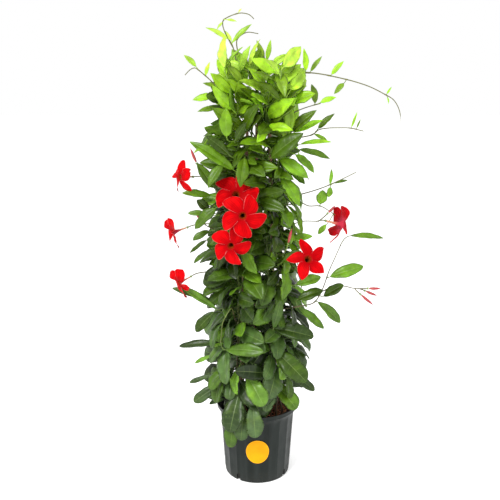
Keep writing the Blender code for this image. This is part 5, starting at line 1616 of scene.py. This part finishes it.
def fine_cane(cane, material):
    """A round bamboo cane with raised joints and a cut top."""
    foot = cane_axis(cane, SOIL_EDGE - CANE_DEPTH)
    lean = cane_axis(cane, CANE_TOP) - foot
    length = lean.length
    steps = int(length / CANE_STEP)
    joints = [(joint + CANE_JOINT_PLACE) / CANE_JOINTS * length for joint in range(CANE_JOINTS)]
    line = []
    radii = []
    tones = []
    for k in range(steps + 1):
        along = length * k / steps
        near = min(abs(along - joint) for joint in joints)
        below = min(abs(along - joint + CANE_PINCH_BELOW) for joint in joints)
        taper = between(along, (0, joints[-1], length), (1.0, 1.0, CANE_TOP_WIDTH))
        swell = (CANE_JOINT_WIDTH - 1) * math.exp(-(near / CANE_SWELL_REACH) ** 2)
        pinch = CANE_PINCH * math.exp(-(below / CANE_PINCH_REACH) ** 2)
        line.append(foot + lean.normalized() * along)
        radii.append(CANE_RADIUS * (taper + swell - pinch))
        tones.append(blend_tones(CANE_TONE, CANE_JOINT_TONE, math.exp(-(near / CANE_TONE_REACH) ** 2)))
    shape = Shape()
    shape.add_tube(line, radii, CANE_FINE_SIDES, tones)
    dress(shape.piece(f"cane_{cane + 1}_fine", [material], sharp=CANE_SHARP), "bamboo", f"cane_{cane + 1}")


class Finish:
    """A material under construction: one Principled shader and the nodes that feed it."""

    def __init__(self, name, roughness, specular=0.5):
        self.material = bpy.data.materials.new(name)
        self.material.use_nodes = True
        self.tree = self.material.node_tree
        self.shader = self.tree.nodes["Principled BSDF"]
        self.shader.inputs["Roughness"].default_value = roughness
        self.shader.inputs["Specular IOR Level"].default_value = specular

    def node(self, kind, **inputs):
        """A node with its inputs set by name: a number, a colour or another node's output."""
        made = self.tree.nodes.new(kind)
        for key, value in inputs.items():
            self.feed(made.inputs[key.replace("_", " ")], value)
        return made

    def feed(self, socket, value):
        """Link an output to a socket, or set its value."""
        if isinstance(value, bpy.types.NodeSocket):
            self.tree.links.new(value, socket)
        else:
            socket.default_value = value

    def sum(self, operation, a, b=0.0):
        """The outcome of a math node."""
        made = self.tree.nodes.new("ShaderNodeMath")
        made.operation = operation
        self.feed(made.inputs[0], a)
        self.feed(made.inputs[1], b)
        return made.outputs[0]

    def times(self, a, b):
        """The product of two values."""
        return self.sum("MULTIPLY", a, b)

    def off_middle(self, across):
        """How far a place from 0 to 1 lies from the middle, as a share of the way to the edge."""
        return self.sum("ABSOLUTE", self.sum("SUBTRACT", self.times(across, 2.0), 1.0))

    def ramp(self, value, low, high, at_low=0.0, at_high=1.0):
        """A smooth step of a value between two bounds."""
        made = self.tree.nodes.new("ShaderNodeMapRange")
        made.interpolation_type = "SMOOTHSTEP"
        for key, given in (("Value", value), ("From Min", low), ("From Max", high),
                           ("To Min", at_low), ("To Max", at_high)):
            self.feed(made.inputs[key], given)
        return made.outputs["Result"]

    def mix(self, share, a, b, mode="MIX"):
        """Two colours mixed."""
        made = self.tree.nodes.new("ShaderNodeMix")
        made.data_type = "RGBA"
        made.blend_type = mode
        self.feed(made.inputs[0], share)
        for socket, value in ((made.inputs[6], a), (made.inputs[7], b)):
            self.feed(socket, value if isinstance(value, bpy.types.NodeSocket) else (*value, 1.0))
        return made.outputs[2]

    def noise(self, scale, detail=3.0, stretch=(1, 1, 1), source="Object"):
        """A noise from 0 to 1 in a piece's own coordinates."""
        place = self.node("ShaderNodeTexCoord").outputs[source]
        place = self.node("ShaderNodeMapping", Vector=place, Scale=stretch).outputs[0]
        return self.node("ShaderNodeTexNoise", Vector=place, Scale=scale, Detail=detail).outputs["Fac"]

    def tone(self):
        """The colour that a piece's points carry."""
        made = self.tree.nodes.new("ShaderNodeAttribute")
        made.attribute_name = "tone"
        return made.outputs["Color"]

    def marks(self):
        """Places across and along a form, from its points' marks."""
        made = self.tree.nodes.new("ShaderNodeUVMap")
        made.uv_map = "marks"
        parts = self.node("ShaderNodeSeparateXYZ", Vector=made.outputs[0])
        return parts.outputs[0], parts.outputs[1]

    def varied(self, color, noise, depth):
        """A colour made darker and brighter by a noise."""
        level = self.ramp(noise, *NOISE_SPAN, 1 - depth, 1 + depth)
        grey = self.node("ShaderNodeCombineColor", Red=level, Green=level, Blue=level).outputs[0]
        return self.mix(1.0, color, grey, "MULTIPLY")

    def bump(self, height, strength, distance):
        """Relief on the shader's normal."""
        made = self.node("ShaderNodeBump", Height=height, Strength=strength, Distance=distance)
        self.feed(self.shader.inputs["Normal"], made.outputs[0])

    def glow_through(self, color, share):
        """Let a share of the light through, as thin leaves and petals do."""
        thin = self.node("ShaderNodeBsdfTranslucent", Color=color)
        both = self.tree.nodes.new("ShaderNodeMixShader")
        both.inputs[0].default_value = share
        self.feed(both.inputs[1], self.shader.outputs[0])
        self.feed(both.inputs[2], thin.outputs[0])
        self.feed(self.tree.nodes["Material Output"].inputs["Surface"], both.outputs[0])

    def done(self, color):
        """The material, with its colour set."""
        self.feed(self.shader.inputs["Base Color"], color)
        return self.material


def leaf_finish(name, under):
    """A leaf's upper face or its paler underside, with veins and a thin pale margin."""
    made = Finish(name, *(UNDER_SURFACE if under else LEAF_SURFACE))
    across, along = made.marks()
    out = made.off_middle(across)
    step = made.sum("FRACT", made.sum("ADD", made.times(along, float(VEINS)), 0.5))
    vein = made.ramp(made.sum("ABSOLUTE", made.sum("SUBTRACT", step, 0.5)), *VEIN_SPAN)
    vein = made.times(vein, made.ramp(out, *VEIN_FADE))
    tone = made.tone()
    if under:
        tone = made.mix(UNDER_SHARE, tone, UNDERSIDE)
    color = made.varied(tone, made.noise(*BLOTCHES), BLOTCH_DEPTH)
    patches = made.times(made.ramp(made.noise(*PATCHES), *PATCH_SPAN), PATCH_SHARE)
    color = made.mix(patches, color, made.mix(1.0, color, PATCH_TINT, "MULTIPLY"))
    pale = made.mix(PALE_SHARE, color, PALE_VEIN)
    for line, share in ((vein, UNDER_VEIN_SHARE if under else VEIN_SHARE),
                        (made.ramp(out, *MARGIN_SPAN), MARGIN_SHARE),
                        (made.ramp(out, *MIDRIB_SPAN), MIDRIB_SHARE)):
        color = made.mix(made.times(line, share), color, pale)
    grain = made.times(made.noise(*LEAF_GRAIN), GRAIN_SHARE)
    height = made.sum("SUBTRACT", grain, made.times(vein, VEIN_RELIEF))
    height = made.sum("ADD", height, made.times(made.noise(*LEAF_DENTS), DENT_SHARE))
    made.bump(height, *LEAF_BUMP)
    made.glow_through(made.mix(1.0, color, GLOW_TINT, "MULTIPLY"), LEAF_GLOW)
    return made.done(color)


def petal_finish(name, back):
    """The scarlet face of the petals, or their pinker back and the outside of the funnel."""
    made = Finish(name, *PETAL_SURFACE)
    across, along = made.marks()
    streaks = made.noise(*STREAKS, "UV")
    if back:
        color = made.mix(made.ramp(along, *BACK_SPAN), BACK_FOOT, BACK_TIP)
        color = made.mix(made.ramp(along, *TUBE_SPAN), color, TUBE_FOOT)
    else:
        # deeper red towards the throat and in patches: partly the petal's own colour, partly painted shade
        color = made.mix(made.ramp(along, *FACE_SPAN), FACE_FOOT_AND_SHADED, made.tone())
        color = made.mix(made.ramp(made.noise(*FACE_PATCHES), *FACE_PATCH_SPAN), FACE_DEEP_AND_SHADED, color)
        # the darkest brown, deep in the funnel, is partly painted shade
        for tone, low, high in THROAT_TONES_AND_SHADE:
            color = made.mix(made.ramp(along, low, high), tone, color)
    color = made.varied(color, streaks, STREAK_DEPTH)
    # pale pink margin along the petal's sides and end, broken up by a noise: partly its own colour, partly a
    # painted rim highlight
    side = made.ramp(made.off_middle(across), *EDGE_SIDES)
    edge = made.sum("MAXIMUM", side, made.ramp(along, *EDGE_END))
    edge = made.times(edge, made.ramp(along, *EDGE_START))
    edge = made.times(edge, made.ramp(made.noise(*EDGE_BREAKUP), *EDGE_BREAKUP_SPAN))
    color = made.mix(made.times(edge, EDGE_SHARE), color, PETAL_EDGE_AND_HIGHLIGHT)
    made.bump(streaks, *PETAL_BUMP)
    made.glow_through(color, PETAL_GLOW)
    return made.done(color)


def toned_finish(name, roughness, scale, depth, relief, stretch=(1, 1, 1), detail=5.0, deep=TONED_RELIEF):
    """A surface with the colour of its points, mottled and rough."""
    made = Finish(name, roughness)
    mottling = made.noise(scale, detail, stretch)
    made.bump(mottling, relief, deep)
    return made.done(made.varied(made.tone(), mottling, depth))


def pot_finish():
    """Dark grey-green plastic, faintly mottled and scuffed, dustier low down."""
    made = Finish("pot_plastic", *POT_SURFACE)
    place = made.node("ShaderNodeTexCoord").outputs["Object"]
    height = made.node("ShaderNodeSeparateXYZ", Vector=place).outputs[2]
    color = made.mix(made.ramp(made.noise(*POT_CLOUDS), *NOISE_SPAN), POT_DARK, POT_LIGHT)
    for noise, span, share, tone in POT_MARKS:
        color = made.mix(made.times(made.ramp(made.noise(*noise), *span), share), color, tone)
    dust = made.times(made.ramp(height, *DUST_SPAN), made.noise(*DUST_NOISE))
    color = made.mix(dust, color, POT_DUST)
    rough = made.ramp(made.noise(*POT_WEAR), *NOISE_SPAN, *POT_ROUGHNESS)
    made.feed(made.shader.inputs["Roughness"], rough)
    made.bump(made.noise(*POT_GRAIN), *POT_BUMP)
    return made.done(color)


def label_finish():
    """Amber paper: a little deeper in places, with a paler printed edge."""
    made = Finish("label_amber", *LABEL_SURFACE)
    share, _ = made.marks()
    color = made.mix(made.ramp(made.noise(*LABEL_CLOUDS), *LABEL_CLOUD_SPAN), AMBER, AMBER_DEEP)
    color = made.mix(made.ramp(share, *LABEL_RING), color, AMBER_EDGE)
    made.bump(made.noise(*LABEL_GRAIN), *LABEL_BUMP)
    return made.done(color)


def floor_finish():
    """Plain white floor, which glows a little so that shadows on it stay faint."""
    made = Finish("floor", *FLOOR_SURFACE)
    made.shader.inputs["Emission Color"].default_value = WHITE
    made.shader.inputs["Emission Strength"].default_value = FLOOR_GLOW
    return made.done(WHITE)


def grown_plant(nodes, blooms, buds):
    """The stems and leaves, grown in the same order and places as those of the solids."""
    crowd = Crowd()
    plant = Plant(crowd)
    for name in ["pot", "soil"] + [f"cane_{k + 1}" for k in range(CANE_COUNT)]:
        crowd.add_object(nodes[name])
    for places in SHOOTS:
        plant.grow_shoot([mm(place) for place in places])
    for bloom in blooms:
        plant.grow_stalk(bloom.foot, bloom.facing)
        crowd.add_object(nodes[bloom.name])
    for k, (foot, tip) in enumerate(buds):
        plant.grow_stalk(foot, (tip - foot).normalized())
        crowd.add_object(nodes[f"bud_{k + 1}"])
    for number, route in enumerate(plant.routes):
        for tube in [(route, STEM_FOOT_RADIUS, STEM_TIP_RADIUS)] + plant.tubes[number]:
            trial = make_tube(*tube)
            crowd.add_object(trial, number)
            bpy.data.curves.remove(trial.data)
    for number, (foot, tip, width) in enumerate(PLACED_LEAVES):
        plant.place_leaf(number, mm(foot), mm(tip), width)
    plant.grow_pairs()
    return plant


def more_roots(plant):
    """Where the further pairs stand on the climbing stems, from the lowest up, each with its stem."""
    starts = []
    for stem, route in enumerate(plant.routes):
        line = smooth_route(route[2:], STEM_STEP)
        walked = 0.0
        due = MORE_FIRST * (stem + 1) / len(plant.routes)
        for a, b in zip(line, line[1:]):
            walked += (b - a).length
            if walked > due and b.z > MORE_FOOT:
                starts.append((stem, b))
                due = walked + at_level(MORE_SPACINGS, b.z)
    return sorted(starts, key=lambda start: (start[1].z, start[0]))


def grow_more(plant):
    """Further pairs between those of the solids, each leaf with its stem."""
    more = []
    for number, (stem, root) in enumerate(more_roots(plant)):
        heading = math.atan2(root.y - CROWN_CENTRE.y, root.x - CROWN_CENTRE.x)
        for side in (-1, 1):
            rng = random.Random(MORE_SEED + 2 * number + max(side, 0))
            for draw in range(MORE_DRAWS):
                loose = 1 - MORE_SHRINK * draw / MORE_DRAWS
                leaf = plant.draw_leaf(root, heading + rng.uniform(-MORE_SWAY, MORE_SWAY), side, rng)
                if leaf:
                    leaf.length *= loose
                    leaf.width *= loose
                if leaf and plant.crowd.take(leaf, stem):
                    more.append((stem, leaf))
                    break
    return more


def place_camera():
    """The view of the photograph."""
    camera = bpy.data.cameras.new("camera")
    camera.sensor_width = SENSOR
    camera.lens = FOCAL_PIXELS / FRAME_PIXELS * SENSOR
    camera.clip_start = CLIP_START
    made = linked("camera", camera)
    made.location = CAMERA_PLACE
    made.rotation_euler = (math.pi / 2 - CAMERA_DOWN, 0, 0)
    bpy.context.scene.camera = made


def set_studio():
    """A white surround, soft square lights that face the plant, and a pale floor."""
    scene = bpy.context.scene
    world = bpy.data.worlds.new("studio")
    scene.world = world
    world.use_nodes = True
    world.node_tree.nodes["Background"].inputs["Color"].default_value = WHITE
    world.node_tree.nodes["Background"].inputs["Strength"].default_value = WORLD_LIGHT
    scene.view_settings.view_transform = "Standard"
    for name, place, target, size, power in LIGHTS:
        light = bpy.data.lights.new(name, "AREA")
        light.size = size
        light.energy = power
        made = linked(name, light)
        made.location = place
        made.rotation_euler = (Vector(target) - Vector(place)).to_track_quat("-Z", "Y").to_euler()
    mesh = bpy.data.meshes.new("floor")
    sides = ((-1, -1), (1, -1), (1, 1), (-1, 1))
    mesh.from_pydata([(x * FLOOR_REACH, y * FLOOR_REACH, -FLOOR_DROP) for x, y in sides], [], [(0, 1, 2, 3)])
    mesh.materials.append(floor_finish())
    floor = linked("floor", mesh)


blooms = [Bloom(number, *row) for number, row in enumerate(BLOOMS)]
buds = [(mm(foot), mm(tip)) for foot, tip in BUDS]
plant = grown_plant(frame["nodes"], blooms, buds)
more = grow_more(plant)
foliage = [toned_finish(*STEM_BARK), leaf_finish("leaf_top", False), leaf_finish("leaf_under", True)]
dress_stems(plant, foliage)
dress_more_leaves(more, foliage)
petals = [petal_finish("petal_face", False), petal_finish("petal_back", True)]
for bloom in blooms:
    bloom.dress(petals)
rolled = toned_finish(*BUD_SKIN)
for number, (foot, tip) in enumerate(buds):
    fine_bud(number, foot, tip, rolled)
fine_pot(pot_finish())
fine_label(label_finish())
fine_soil(toned_finish(*SOIL_CRUMB))
bark(toned_finish(*BARK_CHIP))
bamboo = toned_finish(*BAMBOO_SKIN)
for cane in range(CANE_COUNT):
    fine_cane(cane, bamboo)
set_studio()
place_camera()
